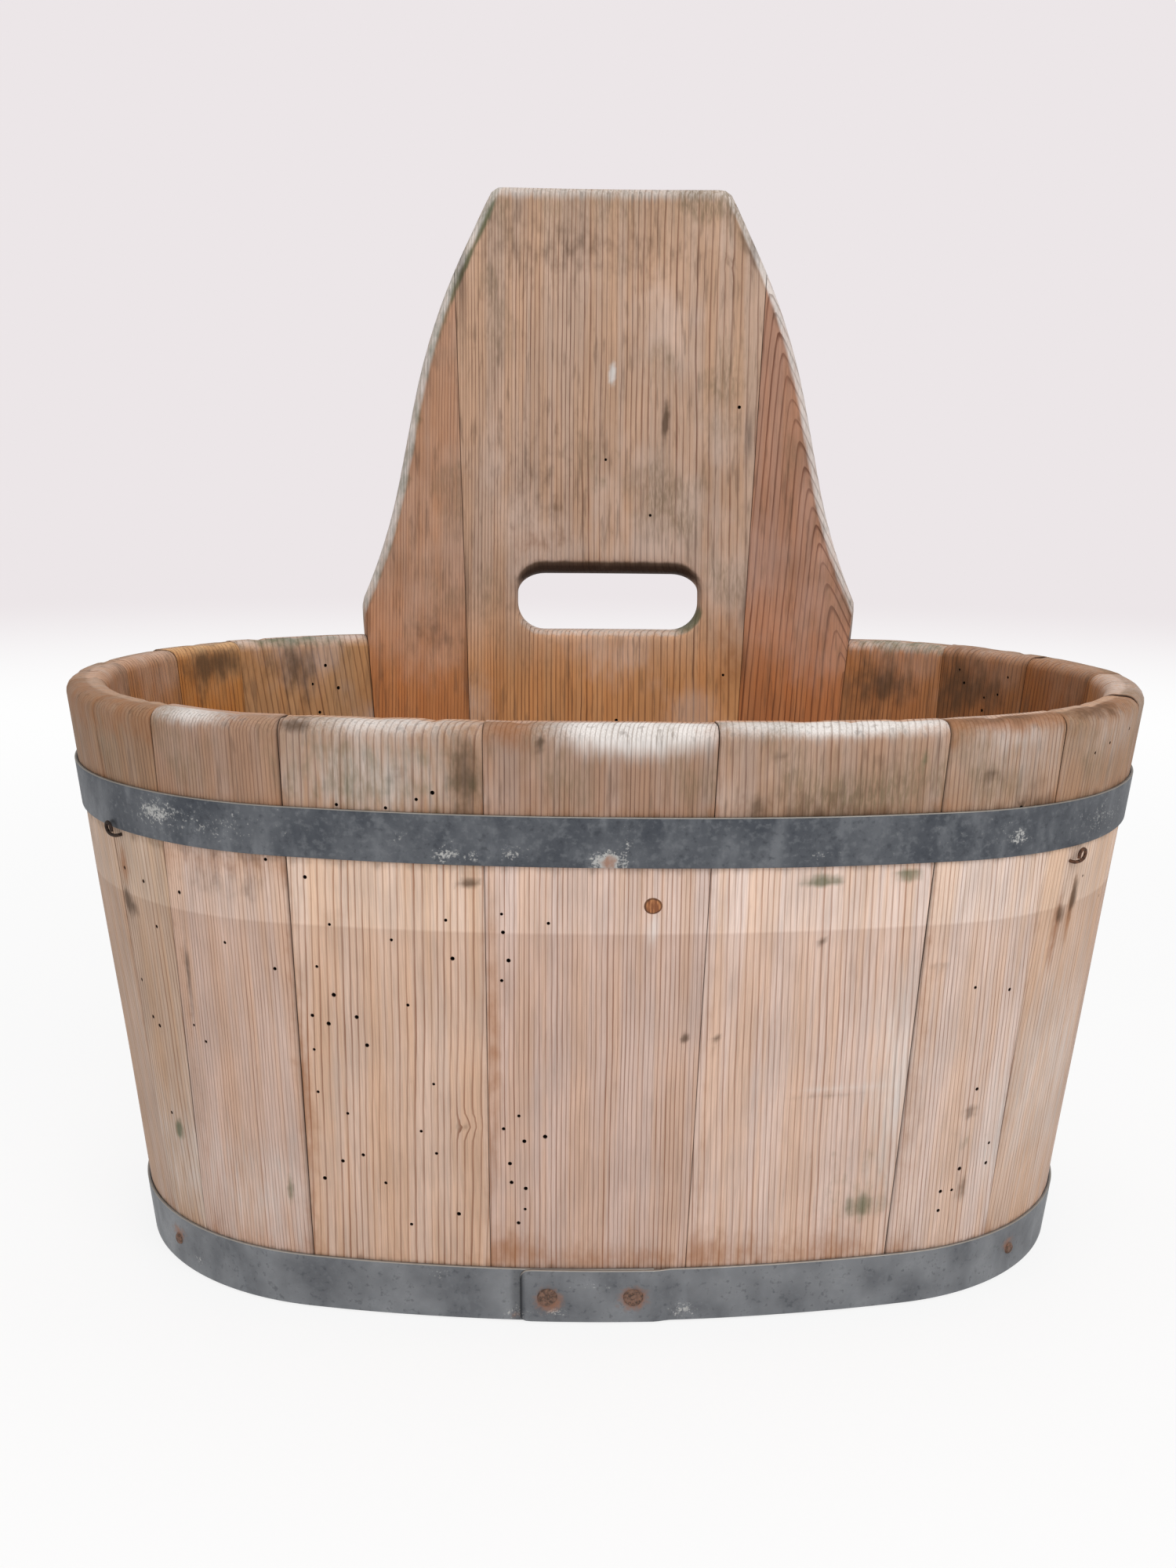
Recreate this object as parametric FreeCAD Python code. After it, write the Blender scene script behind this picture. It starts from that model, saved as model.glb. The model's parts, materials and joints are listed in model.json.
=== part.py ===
import FreeCAD, Part
import math
import os
from FreeCAD import Placement, Rotation, Vector

# An oval coopered tub used as a cachepot. Staves stand on end round an oval, two galvanised hoops
# hold them, a bottom of three boards sits in a groove inside them, and three tall staves at the
# back make a board with a hand slot. Lengths are in millimetres and angles in radians.
# +Z is up, the tub stands on Z = 0 with the middle of its foot at the origin, its long side lies
# along X, and its front faces -Y.

# Tub, outside the staves at the rim: an oval of four arcs, with a longer radius along the sides
RIM_LENGTH = 500.0
RIM_DEPTH = 311.0
SIDE_RADIUS = 630.0
RIM_HEIGHT = 268.0
FLARE = 31.0  # how far the rim stands out over the foot, the same all round

# Staves
STAVE_THICKNESS = 18.0
RIM_OUTER_ROUND = 6.0
RIM_INNER_ROUND = 5.0
FOOT_BEVEL = 4.0

# Each stave's width, anticlockwise from the right-hand end, as a share of the way round the rim
STAVE_WIDTH_SHARES = [
    ("stave_right_end_back", 0.0518),
    ("stave_back_right_outer", 0.0459),
    ("stave_back_right_inner", 0.0452),
    ("tall_stave_right", 0.0447),
    ("tall_stave_middle", 0.1180),
    ("tall_stave_left", 0.0418),
    ("stave_back_left_inner", 0.0611),
    ("stave_back_left_outer", 0.0362),
    ("stave_left_end_back", 0.0403),
    ("stave_left_end_middle", 0.0415),
    ("stave_left_end_front", 0.0435),
    ("stave_front_left_corner", 0.0322),
    ("stave_front_left_outer", 0.0455),
    ("stave_front_left_inner", 0.0614),
    ("stave_front_middle", 0.0693),
    ("stave_front_right_inner", 0.0710),
    ("stave_front_right_outer", 0.0431),
    ("stave_front_right_corner", 0.0530),
    ("stave_right_end_front", 0.0545),
]
TALL_STAVES = ["tall_stave_right", "tall_stave_middle", "tall_stave_left"]
# How far a stave's anticlockwise side leans that way as it rises, as a share of the rise. Staves
# that aren't listed have a side that keeps to one normal direction of the wall.
SIDE_LEANS = {
    "stave_back_right_inner": -0.075,
    "tall_stave_right": -0.035,
    "tall_stave_middle": 0.021,
    "tall_stave_left": 0.055,
    "stave_front_left_corner": 0.033,
    "stave_front_middle": 0.018,
    "stave_front_right_inner": 0.022,
}

# Back board: what the tall staves are sawn to above the rim
BOARD_RISE = 239.0  # from the rim to the top edge
SHOULDER_RISE = 22.0  # from the rim to the board's widest place
BOARD_TOP_WIDTH = 128.0
FLICK_RADIUS = 300.0  # hollow curve just above the shoulder
CROWN_RADIUS = 340.0  # round curve below the top
BOARD_CORNER_ROUND = 5.0
FLICK_WIDTH_SHARE = 0.902  # of the width at the shoulder
FLICK_RISE_SHARE = 0.143  # of the way from the shoulder to the top
CROWN_WIDTH_SHARE = 0.742
CROWN_RISE_SHARE = 0.662

# Hand slot, through the middle tall stave
SLOT_WIDTH = 100.0
SLOT_HEIGHT = 36.0
SLOT_CORNER_RADIUS = 15.0
SLOT_RISE = 20.0  # from the rim to the slot's middle
SLOT_EDGE_ROUND = 4.0

# Bottom: boards let into the croze, the groove inside the staves
CROZE_HEIGHT = 14.0
CROZE_WIDTH = 9.0
CROZE_DEPTH = 6.0
BOTTOM_THICKNESS = 16.0
BOTTOM_BOARDS = ["bottom_board_front", "bottom_board_middle", "bottom_board_back"]
BOTTOM_FIT = 0.3

# Dowels, in the edges of the bottom boards and of the tall staves
BOTTOM_DOWEL_DIAMETER = 7.0
BOTTOM_DOWEL_LENGTH = 40.0
BOTTOM_DOWEL_SPACING = 176.0
BOARD_DOWEL_DIAMETER = 8.0
BOARD_DOWEL_LENGTH = 36.0
BOARD_DOWEL_RISE_SHARES = [0.16, 0.42]  # of the board's rise above the rim
DOWEL_FIT = 0.1

# Hoops: riveted strips, each with one lap
HOOP_THICKNESS = 1.25
HOOP_FIT = 0.1
LOWER_HOOP_HEIGHT = 1.0  # lower edge above the floor
LOWER_HOOP_WIDTH = 26.0
LOWER_HOOP_LAP_SHARE = 0.7428  # middle of the lap, at the front
UPPER_HOOP_HEIGHT = 210.0
UPPER_HOOP_WIDTH = 21.5
UPPER_HOOP_LAP_SHARE = 0.25  # at the back, behind the board
LAP_LENGTH = 60.0
LAP_GAP = 0.1
LAP_STEP = 6.0  # where the outer end steps down on to the staves
STRIP_END_GAP = 0.5

# Rivets through the laps
RIVET_SHANK_DIAMETER = 4.0
RIVET_HEAD_DIAMETER = 8.5
RIVET_HEAD_HEIGHT = 2.0
RIVET_SPACING = 37.0
RIVET_FIT = 0.1

# Nails through the lower hoop
NAIL_SHANK_DIAMETER = 2.6
NAIL_HEAD_DIAMETER = 5.5
NAIL_HEAD_HEIGHT = 1.4
NAIL_DEPTH = 14.0
NAIL_PLACE_SHARES = [0.5735, 0.9101]
NAIL_FIT = 0.1

# Wire nails curled over under the upper hoop, to keep it from slipping down
STOP_NAIL_DIAMETER = 1.6
STOP_NAIL_DEPTH = 14.0
STOP_NAIL_LIFT = 2.6  # how far the curl lies out from the wood
STOP_NAIL_BEND = 1.6
STOP_NAIL_ARM = 4.5
CURL_RADIUS = 2.2
CURL_TURN_SHARE = 0.8  # of a full turn
LEFT_STOP_SHARE = 0.5772
LEFT_STOP_DROP = 2.0  # below the hoop
RIGHT_STOP_SHARE = 0.9050
RIGHT_STOP_DROP = 8.5

# Wooden plug in the front middle stave
PLUG_DIAMETER = 7.2
PLUG_DEPTH = 12.0
PLUG_HEIGHT = 193.0
PLUG_PLACE_SHARE = 0.7603
PLUG_FIT = 0.1

# How far a cutting tool runs past what it cuts
OVERRUN = 5.0
# Two shapes nearer than this touch
TOUCH = 0.01
# How much of a side one rounded corner may use
CORNER_SIDE_SHARE = 0.48

HALF_LENGTH = RIM_LENGTH / 2
HALF_DEPTH = RIM_DEPTH / 2
END_RADIUS = 2 * SIDE_RADIUS * HALF_DEPTH - HALF_LENGTH**2 - HALF_DEPTH**2
END_RADIUS /= 2 * (SIDE_RADIUS - HALF_LENGTH)
END_CENTRE = HALF_LENGTH - END_RADIUS
SIDE_CENTRE = SIDE_RADIUS - HALF_DEPTH
END_TURN = math.atan2(SIDE_CENTRE, END_CENTRE)
SIDE_TURN = math.pi / 2 - END_TURN
LEAN = math.atan2(FLARE, RIM_HEIGHT)
WALL = STAVE_THICKNESS / math.cos(LEAN)  # the staves' thickness measured level
BOARD_TOP = RIM_HEIGHT + BOARD_RISE
BOTTOM_LOW = CROZE_HEIGHT + BOTTOM_FIT
RIVET_SEAT = HOOP_FIT + 2 * HOOP_THICKNESS + LAP_GAP + RIVET_FIT
NAIL_HEIGHT = LOWER_HOOP_HEIGHT + LOWER_HOOP_WIDTH / 2
LEFT_STOP_HEIGHT = UPPER_HOOP_HEIGHT - LEFT_STOP_DROP
RIGHT_STOP_HEIGHT = UPPER_HOOP_HEIGHT - RIGHT_STOP_DROP
UP = Vector(0, 0, 1)

# The outline's arcs in order from the right-hand end, as half arcs, over two turns
QUARTER_ARCS = [(END_TURN, END_RADIUS), (SIDE_TURN, SIDE_RADIUS)]
HALF_ARCS = (QUARTER_ARCS + QUARTER_ARCS[::-1]) * 4
RIM_WAY = 4 * sum(turn * radius for turn, radius in QUARTER_ARCS)
# Normal directions at which one arc ends and the next begins
ARC_ENDS = [half_turns * math.pi + side * END_TURN for half_turns in range(5) for side in (-1, 1)]


def angle_at(share):
    """Direction of the outward normal at a share of the way round the rim."""
    way = share * RIM_WAY
    angle = 0
    for turn, radius in HALF_ARCS:
        if way <= turn * radius:
            break
        way -= turn * radius
        angle += turn
    return angle + way / radius


def arc_at(angle):
    """Centre and rim radius of the arc whose outward normal has this direction."""
    if abs(math.sin(angle)) > math.sin(END_TURN):
        return Vector(0, -math.copysign(SIDE_CENTRE, math.sin(angle)), 0), SIDE_RADIUS
    return Vector(math.copysign(END_CENTRE, math.cos(angle)), 0, 0), END_RADIUS


def wall_point(radius, depth, height):
    """Point of the wall's section: radius is its arc's at the rim, depth is level, in from outside."""
    return Vector(radius - FLARE * (RIM_HEIGHT - height) / RIM_HEIGHT - depth, 0, height)


def place_at(angle, depth, height):
    """Point of the wall where its outward normal has this direction."""
    centre, radius = arc_at(angle)
    return centre + Rotation(UP, math.degrees(angle)) * wall_point(radius, depth, height)


def turn_over(length, angle, height):
    """How far the wall's normal turns over a length along its outside face at a height."""
    centre, radius = arc_at(angle)
    return length / wall_point(radius, 0, height).x


def round_corner(before, corner, after, radius):
    """Start, middle and end of the arc that rounds a corner, limited by the two sides."""
    back = before - corner
    ahead = after - corner
    half = back.getAngle(ahead) / 2
    reach = min(radius / math.tan(half), CORNER_SIDE_SHARE * min(back.Length, ahead.Length))
    radius = reach * math.tan(half)
    back.normalize()
    ahead.normalize()
    inward = (back + ahead).normalize()
    middle = corner + inward * (radius / math.sin(half) - radius)
    return corner + back * reach, middle, corner + ahead * reach


def rounded_edges(corners, closed):
    """Lines and arcs through a list of corners, each a point with the radius that rounds it."""
    points = [point for point, radius in corners]
    stops = []
    for index, (point, radius) in enumerate(corners):
        if radius == 0:
            stops.append((point, None, point))
            continue
        after = points[(index + 1) % len(points)]
        stops.append(round_corner(points[index - 1], point, after, radius))
    edges = []
    for index, (start, middle, end) in enumerate(stops):
        if index > 0:
            edges.append(Part.makeLine(stops[index - 1][2], start))
        if middle:
            edges.append(Part.Arc(start, middle, end).toShape())
    if closed:
        edges.append(Part.makeLine(stops[-1][2], stops[0][0]))
    return edges


def face_of(corners):
    return Part.Face(Part.Wire(rounded_edges(corners, True)))


def joined(pieces):
    if len(pieces) == 1:
        return pieces[0]
    return pieces[0].fuse(pieces[1:]).removeSplitter().Solids[0]


def along_wall(section, start, end):
    """Sweep a section of the wall from one normal direction to another.

    section makes the section's face for the rim radius of one arc."""
    stops = [start] + [angle for angle in ARC_ENDS if start < angle < end] + [end]
    pieces = []
    for low, high in zip(stops, stops[1:]):
        centre, radius = arc_at((low + high) / 2)
        piece = section(radius).revolve(Vector(), UP, math.degrees(high - low))
        piece.rotate(Vector(), UP, math.degrees(low))
        piece.translate(centre)
        pieces.append(piece)
    return joined(pieces)


def on_wall(shape, angle, height):
    """Set a shape, drawn standing on the XY plane, out from the wall's outside face.

    Its X then points down the wall, its Y anticlockwise and its Z outwards."""
    facing = Rotation(UP, math.degrees(angle))
    tilt = Rotation(Vector(0, 1, 0), math.degrees(math.pi / 2 + LEAN))
    placed = shape.copy()
    placed.Placement = Placement(place_at(angle, 0, height), facing * tilt)
    return placed


def cylinder_along(middle, direction, diameter, length):
    """Cylinder centred on a point."""
    start = middle - direction * (length / 2)
    return Part.makeCylinder(diameter / 2, length, start, direction)


def domed_head(diameter, height):
    """Shallow dome standing on the XY plane."""
    half = diameter / 2
    ball = (half**2 + height**2) / (2 * height)
    turn = math.asin(half / ball) / 2
    middle = Vector(ball * math.sin(turn), 0, height - ball + ball * math.cos(turn))
    edge = Vector(half, 0, 0)
    top = Vector(0, 0, height)
    dome = Part.Arc(edge, middle, top).toShape()
    outline = [Part.makeLine(Vector(), edge), dome, Part.makeLine(top, Vector())]
    return Part.Face(Part.Wire(outline)).revolve(Vector(), UP, math.degrees(2 * math.pi))


def stave_section(radius, top):
    """A stave's section, with the croze and the bevelled foot inside and a rounded top."""
    croze_top = CROZE_HEIGHT + CROZE_WIDTH
    return face_of([
        (wall_point(radius, 0, 0), 0),
        (wall_point(radius, 0, top), RIM_OUTER_ROUND),
        (wall_point(radius, WALL, top), RIM_INNER_ROUND),
        (wall_point(radius, WALL, croze_top), 0),
        (wall_point(radius, WALL - CROZE_DEPTH, croze_top), 0),
        (wall_point(radius, WALL - CROZE_DEPTH, CROZE_HEIGHT), 0),
        (wall_point(radius, WALL, CROZE_HEIGHT), 0),
        (wall_point(radius, WALL, FOOT_BEVEL), 0),
        (wall_point(radius, WALL - FOOT_BEVEL, 0), 0),
    ])


def stave_spans():
    """The wall's normal directions at the two sides of each stave."""
    total = sum(share for name, share in STAVE_WIDTH_SHARES)
    spans = {}
    start_share = 0
    for name, share in STAVE_WIDTH_SHARES:
        end_share = start_share + share / total
        spans[name] = (angle_at(start_share), angle_at(end_share))
        start_share = end_share
    return spans


def start_lean(name):
    """How far a stave's clockwise side leans: as much as the stave before it does."""
    names = [stave for stave, share in STAVE_WIDTH_SHARES]
    return SIDE_LEANS.get(names[names.index(name) - 1], 0)


def leaning_place(angle, lean, depth, height):
    """Point of a leaning joint that passes through a normal direction at the rim."""
    centre, radius = arc_at(angle)
    arm = wall_point(radius, depth, height).x
    return place_at(angle + math.asin(lean * (height - RIM_HEIGHT) / arm), depth, height)


def past_joint(angle, lean):
    """Everything anticlockwise of a leaning joint."""
    block = Part.makeBox(2 * RIM_LENGTH, RIM_LENGTH, 2 * RIM_LENGTH, Vector(-RIM_LENGTH, 0, -RIM_LENGTH))
    tilt = Rotation(Vector(1, 0, 0), -math.degrees(math.atan(lean)))
    block.Placement = Placement(place_at(angle, 0, RIM_HEIGHT), Rotation(UP, math.degrees(angle)) * tilt)
    return block


def spare_turn(angle, lean):
    """How much further a blank runs past a leaning joint, to be cut back to it."""
    return turn_over(abs(lean) * BOARD_TOP + OVERRUN, angle, 0) if lean else 0


def stave_blank(name, span, top):
    """A stave as long as its top is high, with both its sides cut to their joints."""
    start, end = span
    first_lean = start_lean(name)
    last_lean = SIDE_LEANS.get(name, 0)
    low = start - spare_turn(start, first_lean)
    high = end + spare_turn(end, last_lean)
    stave = along_wall(lambda radius: stave_section(radius, top), low, high)
    if first_lean:
        stave = stave.common(past_joint(start, first_lean)).Solids[0]
    if last_lean:
        stave = stave.cut(past_joint(end, last_lean)).Solids[0]
    return stave


def board_blank(spans):
    """Everything inside the back board's sawn outline, and its middle along X."""
    shoulder = RIM_HEIGHT + SHOULDER_RISE
    first = TALL_STAVES[0]
    last = TALL_STAVES[-1]
    right = leaning_place(spans[first][0], start_lean(first), WALL, shoulder).x
    left = leaning_place(spans[last][1], SIDE_LEANS.get(last, 0), WALL, shoulder).x
    middle = (right + left) / 2
    half_width = (right - left) / 2
    rise = BOARD_TOP - shoulder
    flick = Vector(FLICK_WIDTH_SHARE * half_width, 0, shoulder + FLICK_RISE_SHARE * rise)
    crown = Vector(CROWN_WIDTH_SHARE * half_width, 0, shoulder + CROWN_RISE_SHARE * rise)
    top = Vector(BOARD_TOP_WIDTH / 2, 0, BOARD_TOP)
    # The edge runs on outwards and down past the shoulder, where the staves' own sides take over
    slope = (Vector(half_width, 0, shoulder) - flick).normalize()
    past = Vector(half_width, 0, shoulder) + slope * STAVE_THICKNESS
    side = [
        (Vector(past.x, 0, -OVERRUN), 0),
        (past, 0),
        (flick, FLICK_RADIUS),
        (crown, CROWN_RADIUS),
        (top, BOARD_CORNER_ROUND),
    ]
    mirrored = [(Vector(-point.x, 0, point.z), radius) for point, radius in reversed(side)]
    blank = face_of(side + mirrored).extrude(Vector(0, RIM_DEPTH, 0))
    blank.translate(Vector(middle, 0, 0))
    return blank, middle


def hand_slot(middle):
    """Cutter for the hand slot."""
    half_width = SLOT_WIDTH / 2
    half_height = SLOT_HEIGHT / 2
    corners = [(1, 1), (-1, 1), (-1, -1), (1, -1)]
    outline = [(Vector(x * half_width, 0, z * half_height), SLOT_CORNER_RADIUS) for x, z in corners]
    cutter = face_of(outline).extrude(Vector(0, RIM_DEPTH, 0))
    cutter.translate(Vector(middle, 0, RIM_HEIGHT + SLOT_RISE))
    return cutter


def round_slot_edges(stave, cutter):
    """Round both lips of the slot, found as the edges on the cutter that don't run through the wood."""
    walls = stave.common(cutter.Shells[0])
    lips = []
    for edge in stave.Edges:
        middle = edge.valueAt((edge.FirstParameter + edge.LastParameter) / 2)
        along = edge.tangentAt((edge.FirstParameter + edge.LastParameter) / 2)
        touching = walls.distToShape(Part.Vertex(middle))[0] < TOUCH
        if touching and abs(along.y) < math.cos(math.pi / 4):
            lips.append(edge)
    return stave.makeFillet(SLOT_EDGE_ROUND, lips)


def board_dowels(spans, clearance):
    """Dowels across the two joints between the tall staves."""
    dowels = []
    for name in TALL_STAVES[:-1]:
        joint = spans[name][1]
        across = Rotation(UP, math.degrees(joint)) * Vector(0, 1, 0)
        for rise_share in BOARD_DOWEL_RISE_SHARES:
            height = RIM_HEIGHT + rise_share * BOARD_RISE
            middle = leaning_place(joint, SIDE_LEANS.get(name, 0), WALL / 2, height)
            diameter = BOARD_DOWEL_DIAMETER + 2 * clearance
            dowels.append(cylinder_along(middle, across, diameter, BOARD_DOWEL_LENGTH + 2 * clearance))
    return dowels


def oval_slab(inset, low, thickness):
    """Slab with upright sides, set in all round from the rim's outline."""
    points = []
    for quarter in range(4):
        middle_angle = quarter * math.pi / 2
        half = SIDE_TURN if quarter % 2 else END_TURN
        centre, radius = arc_at(middle_angle)
        for angle in (middle_angle - half, middle_angle, middle_angle + half):
            arm = Vector(radius - inset, 0, low)
            points.append(centre + Rotation(UP, math.degrees(angle)) * arm)
    arcs = [Part.Arc(*points[start:start + 3]).toShape() for start in range(0, len(points), 3)]
    return Part.Face(Part.Wire(arcs)).extrude(UP * thickness)


def bottom_dowels(edges, height, clearance):
    """Dowels across the joints of the bottom boards."""
    dowels = []
    for edge in edges:
        for side in (-1, 1):
            middle = Vector(side * BOTTOM_DOWEL_SPACING / 2, edge, height)
            diameter = BOTTOM_DOWEL_DIAMETER + 2 * clearance
            length = BOTTOM_DOWEL_LENGTH + 2 * clearance
            dowels.append(cylinder_along(middle, Vector(0, 1, 0), diameter, length))
    return dowels


def bottom():
    """The bottom boards, by name, and the dowels that join them."""
    inset = FLARE * (RIM_HEIGHT - BOTTOM_LOW) / RIM_HEIGHT + WALL + BOTTOM_FIT
    tongue_inset = inset - CROZE_DEPTH
    tongue = oval_slab(tongue_inset, BOTTOM_LOW, CROZE_WIDTH - 2 * BOTTOM_FIT)
    whole = joined([tongue, oval_slab(inset, BOTTOM_LOW, BOTTOM_THICKNESS)])
    board_width = (RIM_DEPTH - 2 * tongue_inset) / len(BOTTOM_BOARDS)
    outermost = len(BOTTOM_BOARDS) - 1
    edges = [(index - len(BOTTOM_BOARDS) / 2) * board_width for index in range(1, outermost + 1)]
    height = BOTTOM_LOW + BOTTOM_THICKNESS / 2
    holes = Part.makeCompound(bottom_dowels(edges, height, DOWEL_FIT))
    boards = {}
    for index, name in enumerate(BOTTOM_BOARDS):
        front = -HALF_DEPTH if index == 0 else edges[index - 1]
        back = HALF_DEPTH if index == outermost else edges[index]
        strip = Part.makeBox(RIM_LENGTH, back - front, RIM_HEIGHT, Vector(-HALF_LENGTH, front, 0))
        boards[name] = whole.common(strip).cut(holes).Solids[0]
    return boards, bottom_dowels(edges, height, 0)


def hoop(low, width, lap):
    """Strip bent round the staves, drilled for its rivets, with its outer end lapped over its inner.

    lap is the wall's normal direction at the middle of the lap."""
    high = low + width
    inside = HOOP_FIT
    outside = HOOP_FIT + HOOP_THICKNESS
    lap_inside = outside + LAP_GAP
    lap_outside = lap_inside + HOOP_THICKNESS

    def layer(near, far):
        return lambda radius: face_of([
            (wall_point(radius, -near, low), 0),
            (wall_point(radius, -far, low), 0),
            (wall_point(radius, -far, high), 0),
            (wall_point(radius, -near, high), 0),
        ])

    half_lap = turn_over(LAP_LENGTH / 2, lap, low)
    outer_end = lap - half_lap
    inner_end = lap + half_lap
    restart = inner_end + turn_over(STRIP_END_GAP, lap, low)
    step_end = restart + turn_over(LAP_STEP, lap, low)
    strip = along_wall(layer(inside, outside), step_end, inner_end + 2 * math.pi)
    step = along_wall(layer(inside, lap_outside), restart, step_end)
    lapped_end = along_wall(layer(lap_inside, lap_outside), outer_end, restart)
    holes = at_rivets(rivet_shank(RIVET_FIT), low, width, lap)
    return joined([strip, step, lapped_end]).cut(Part.makeCompound(holes))


def rivet_shank(clearance):
    """Shank through both layers of a lap."""
    length = RIVET_SEAT - HOOP_FIT
    return Part.makeCylinder(RIVET_SHANK_DIAMETER / 2 + clearance, length, Vector(0, 0, HOOP_FIT))


def at_rivets(shape, low, width, lap):
    """A shape at each rivet of a hoop's lap."""
    height = low + width / 2
    half = turn_over(RIVET_SPACING / 2, lap, height)
    return [on_wall(shape, angle, height) for angle in (lap - half, lap + half)]


def rivet():
    """Domed rivet drawn along Z."""
    head = domed_head(RIVET_HEAD_DIAMETER, RIVET_HEAD_HEIGHT)
    head.translate(Vector(0, 0, RIVET_SEAT))
    return joined([rivet_shank(0), head])


def hoop_nail():
    """Nail drawn along Z, with its head on the hoop."""
    seat = HOOP_FIT + HOOP_THICKNESS + NAIL_FIT
    head = domed_head(NAIL_HEAD_DIAMETER, NAIL_HEAD_HEIGHT)
    head.translate(Vector(0, 0, seat))
    shank = Part.makeCylinder(NAIL_SHANK_DIAMETER / 2, NAIL_DEPTH + seat, Vector(0, 0, -NAIL_DEPTH))
    return joined([shank, head])


def drilling(diameter, depth):
    """Cutter for a hole drilled in from the outside face."""
    return Part.makeCylinder(diameter / 2, depth + OVERRUN, Vector(0, 0, -depth))


def wire_along(edges):
    """Round wire along a path that starts by running out along Z."""
    path = Part.Wire(edges)
    start = edges[0].valueAt(edges[0].FirstParameter)
    sweep = Part.BRepOffsetAPI.MakePipeShell(path)
    sweep.add(Part.Wire(Part.makeCircle(STOP_NAIL_DIAMETER / 2, start, UP)))
    sweep.build()
    sweep.makeSolid()
    return sweep.shape()


def stop_nail(side):
    """Headless nail knocked over to one side and curled up into a loop that lies along the wood."""
    edges = rounded_edges([
        (Vector(0, 0, -STOP_NAIL_DEPTH), 0),
        (Vector(0, 0, STOP_NAIL_LIFT), STOP_NAIL_BEND),
        (Vector(0, side * STOP_NAIL_ARM, STOP_NAIL_LIFT), 0),
    ], False)
    centre = Vector(-CURL_RADIUS, side * STOP_NAIL_ARM, STOP_NAIL_LIFT)
    arm = Vector(CURL_RADIUS, 0, 0)
    turn = side * CURL_TURN_SHARE * 2 * math.pi
    curl = [centre + Rotation(UP, math.degrees(angle)) * arm for angle in (0, turn / 2, turn)]
    return wire_along(edges + [Part.Arc(*curl).toShape()])


def wall_holes(spans):
    """Every hole in the staves: for nails, the plug and the dowels."""
    nail = drilling(NAIL_SHANK_DIAMETER + 2 * NAIL_FIT, NAIL_DEPTH + NAIL_FIT)
    stop = drilling(STOP_NAIL_DIAMETER + 2 * NAIL_FIT, STOP_NAIL_DEPTH + NAIL_FIT)
    plug = drilling(PLUG_DIAMETER + 2 * PLUG_FIT, PLUG_DEPTH + PLUG_FIT)
    holes = [on_wall(nail, angle_at(share), NAIL_HEIGHT) for share in NAIL_PLACE_SHARES]
    holes.append(on_wall(stop, angle_at(LEFT_STOP_SHARE), LEFT_STOP_HEIGHT))
    holes.append(on_wall(stop, angle_at(RIGHT_STOP_SHARE), RIGHT_STOP_HEIGHT))
    holes.append(on_wall(plug, angle_at(PLUG_PLACE_SHARE), PLUG_HEIGHT))
    return Part.makeCompound(holes + board_dowels(spans, DOWEL_FIT))


def staves():
    """All the staves, by name."""
    spans = stave_spans()
    blank, board_middle = board_blank(spans)
    slot = hand_slot(board_middle)
    holes = wall_holes(spans)
    made = {}
    for name, span in spans.items():
        stave = stave_blank(name, span, BOARD_TOP if name in TALL_STAVES else RIM_HEIGHT)
        if name in TALL_STAVES:
            stave = stave.common(blank).Solids[0]
        if name == "tall_stave_middle":
            stave = round_slot_edges(stave.cut(slot).Solids[0], slot)
        made[name] = stave.cut(holes).Solids[0]
    return made


def assembly():
    """Every piece of the tub, by node name."""
    pieces = staves()
    boards, dowels = bottom()
    pieces.update(boards)
    pieces["bottom_dowels"] = Part.makeCompound(dowels)
    pieces["board_dowels"] = Part.makeCompound(board_dowels(stave_spans(), 0))
    lower = (LOWER_HOOP_HEIGHT, LOWER_HOOP_WIDTH, angle_at(LOWER_HOOP_LAP_SHARE))
    upper = (UPPER_HOOP_HEIGHT, UPPER_HOOP_WIDTH, angle_at(UPPER_HOOP_LAP_SHARE))
    nail_angles = [angle_at(share) for share in NAIL_PLACE_SHARES]
    nail_hole = drilling(NAIL_SHANK_DIAMETER + 2 * NAIL_FIT, NAIL_DEPTH)
    nail_holes = [on_wall(nail_hole, angle, NAIL_HEIGHT) for angle in nail_angles]
    pieces["lower_hoop"] = hoop(*lower).cut(Part.makeCompound(nail_holes))
    pieces["upper_hoop"] = hoop(*upper)
    pieces["lower_hoop_rivets"] = Part.makeCompound(at_rivets(rivet(), *lower))
    pieces["upper_hoop_rivets"] = Part.makeCompound(at_rivets(rivet(), *upper))
    nails = [on_wall(hoop_nail(), angle, NAIL_HEIGHT) for angle in nail_angles]
    pieces["lower_hoop_nails"] = Part.makeCompound(nails)
    pieces["stop_nail_left"] = on_wall(stop_nail(-1), angle_at(LEFT_STOP_SHARE), LEFT_STOP_HEIGHT)
    pieces["stop_nail_right"] = on_wall(stop_nail(1), angle_at(RIGHT_STOP_SHARE), RIGHT_STOP_HEIGHT)
    plug = Part.makeCylinder(PLUG_DIAMETER / 2, PLUG_DEPTH, Vector(0, 0, -PLUG_DEPTH))
    pieces["front_plug"] = on_wall(plug, angle_at(PLUG_PLACE_SHARE), PLUG_HEIGHT)
    return pieces


os.makedirs("parts", exist_ok=True)
for node, shape in assembly().items():
    shape.exportStep("parts/%s.step" % node)
    print(node, "solids", len(shape.Solids), "valid", shape.isValid(), "volume", round(shape.Volume))
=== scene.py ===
import json
import math
from collections import namedtuple

import bmesh
import bpy
import numpy as np
from mathutils import Matrix, Vector


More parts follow.
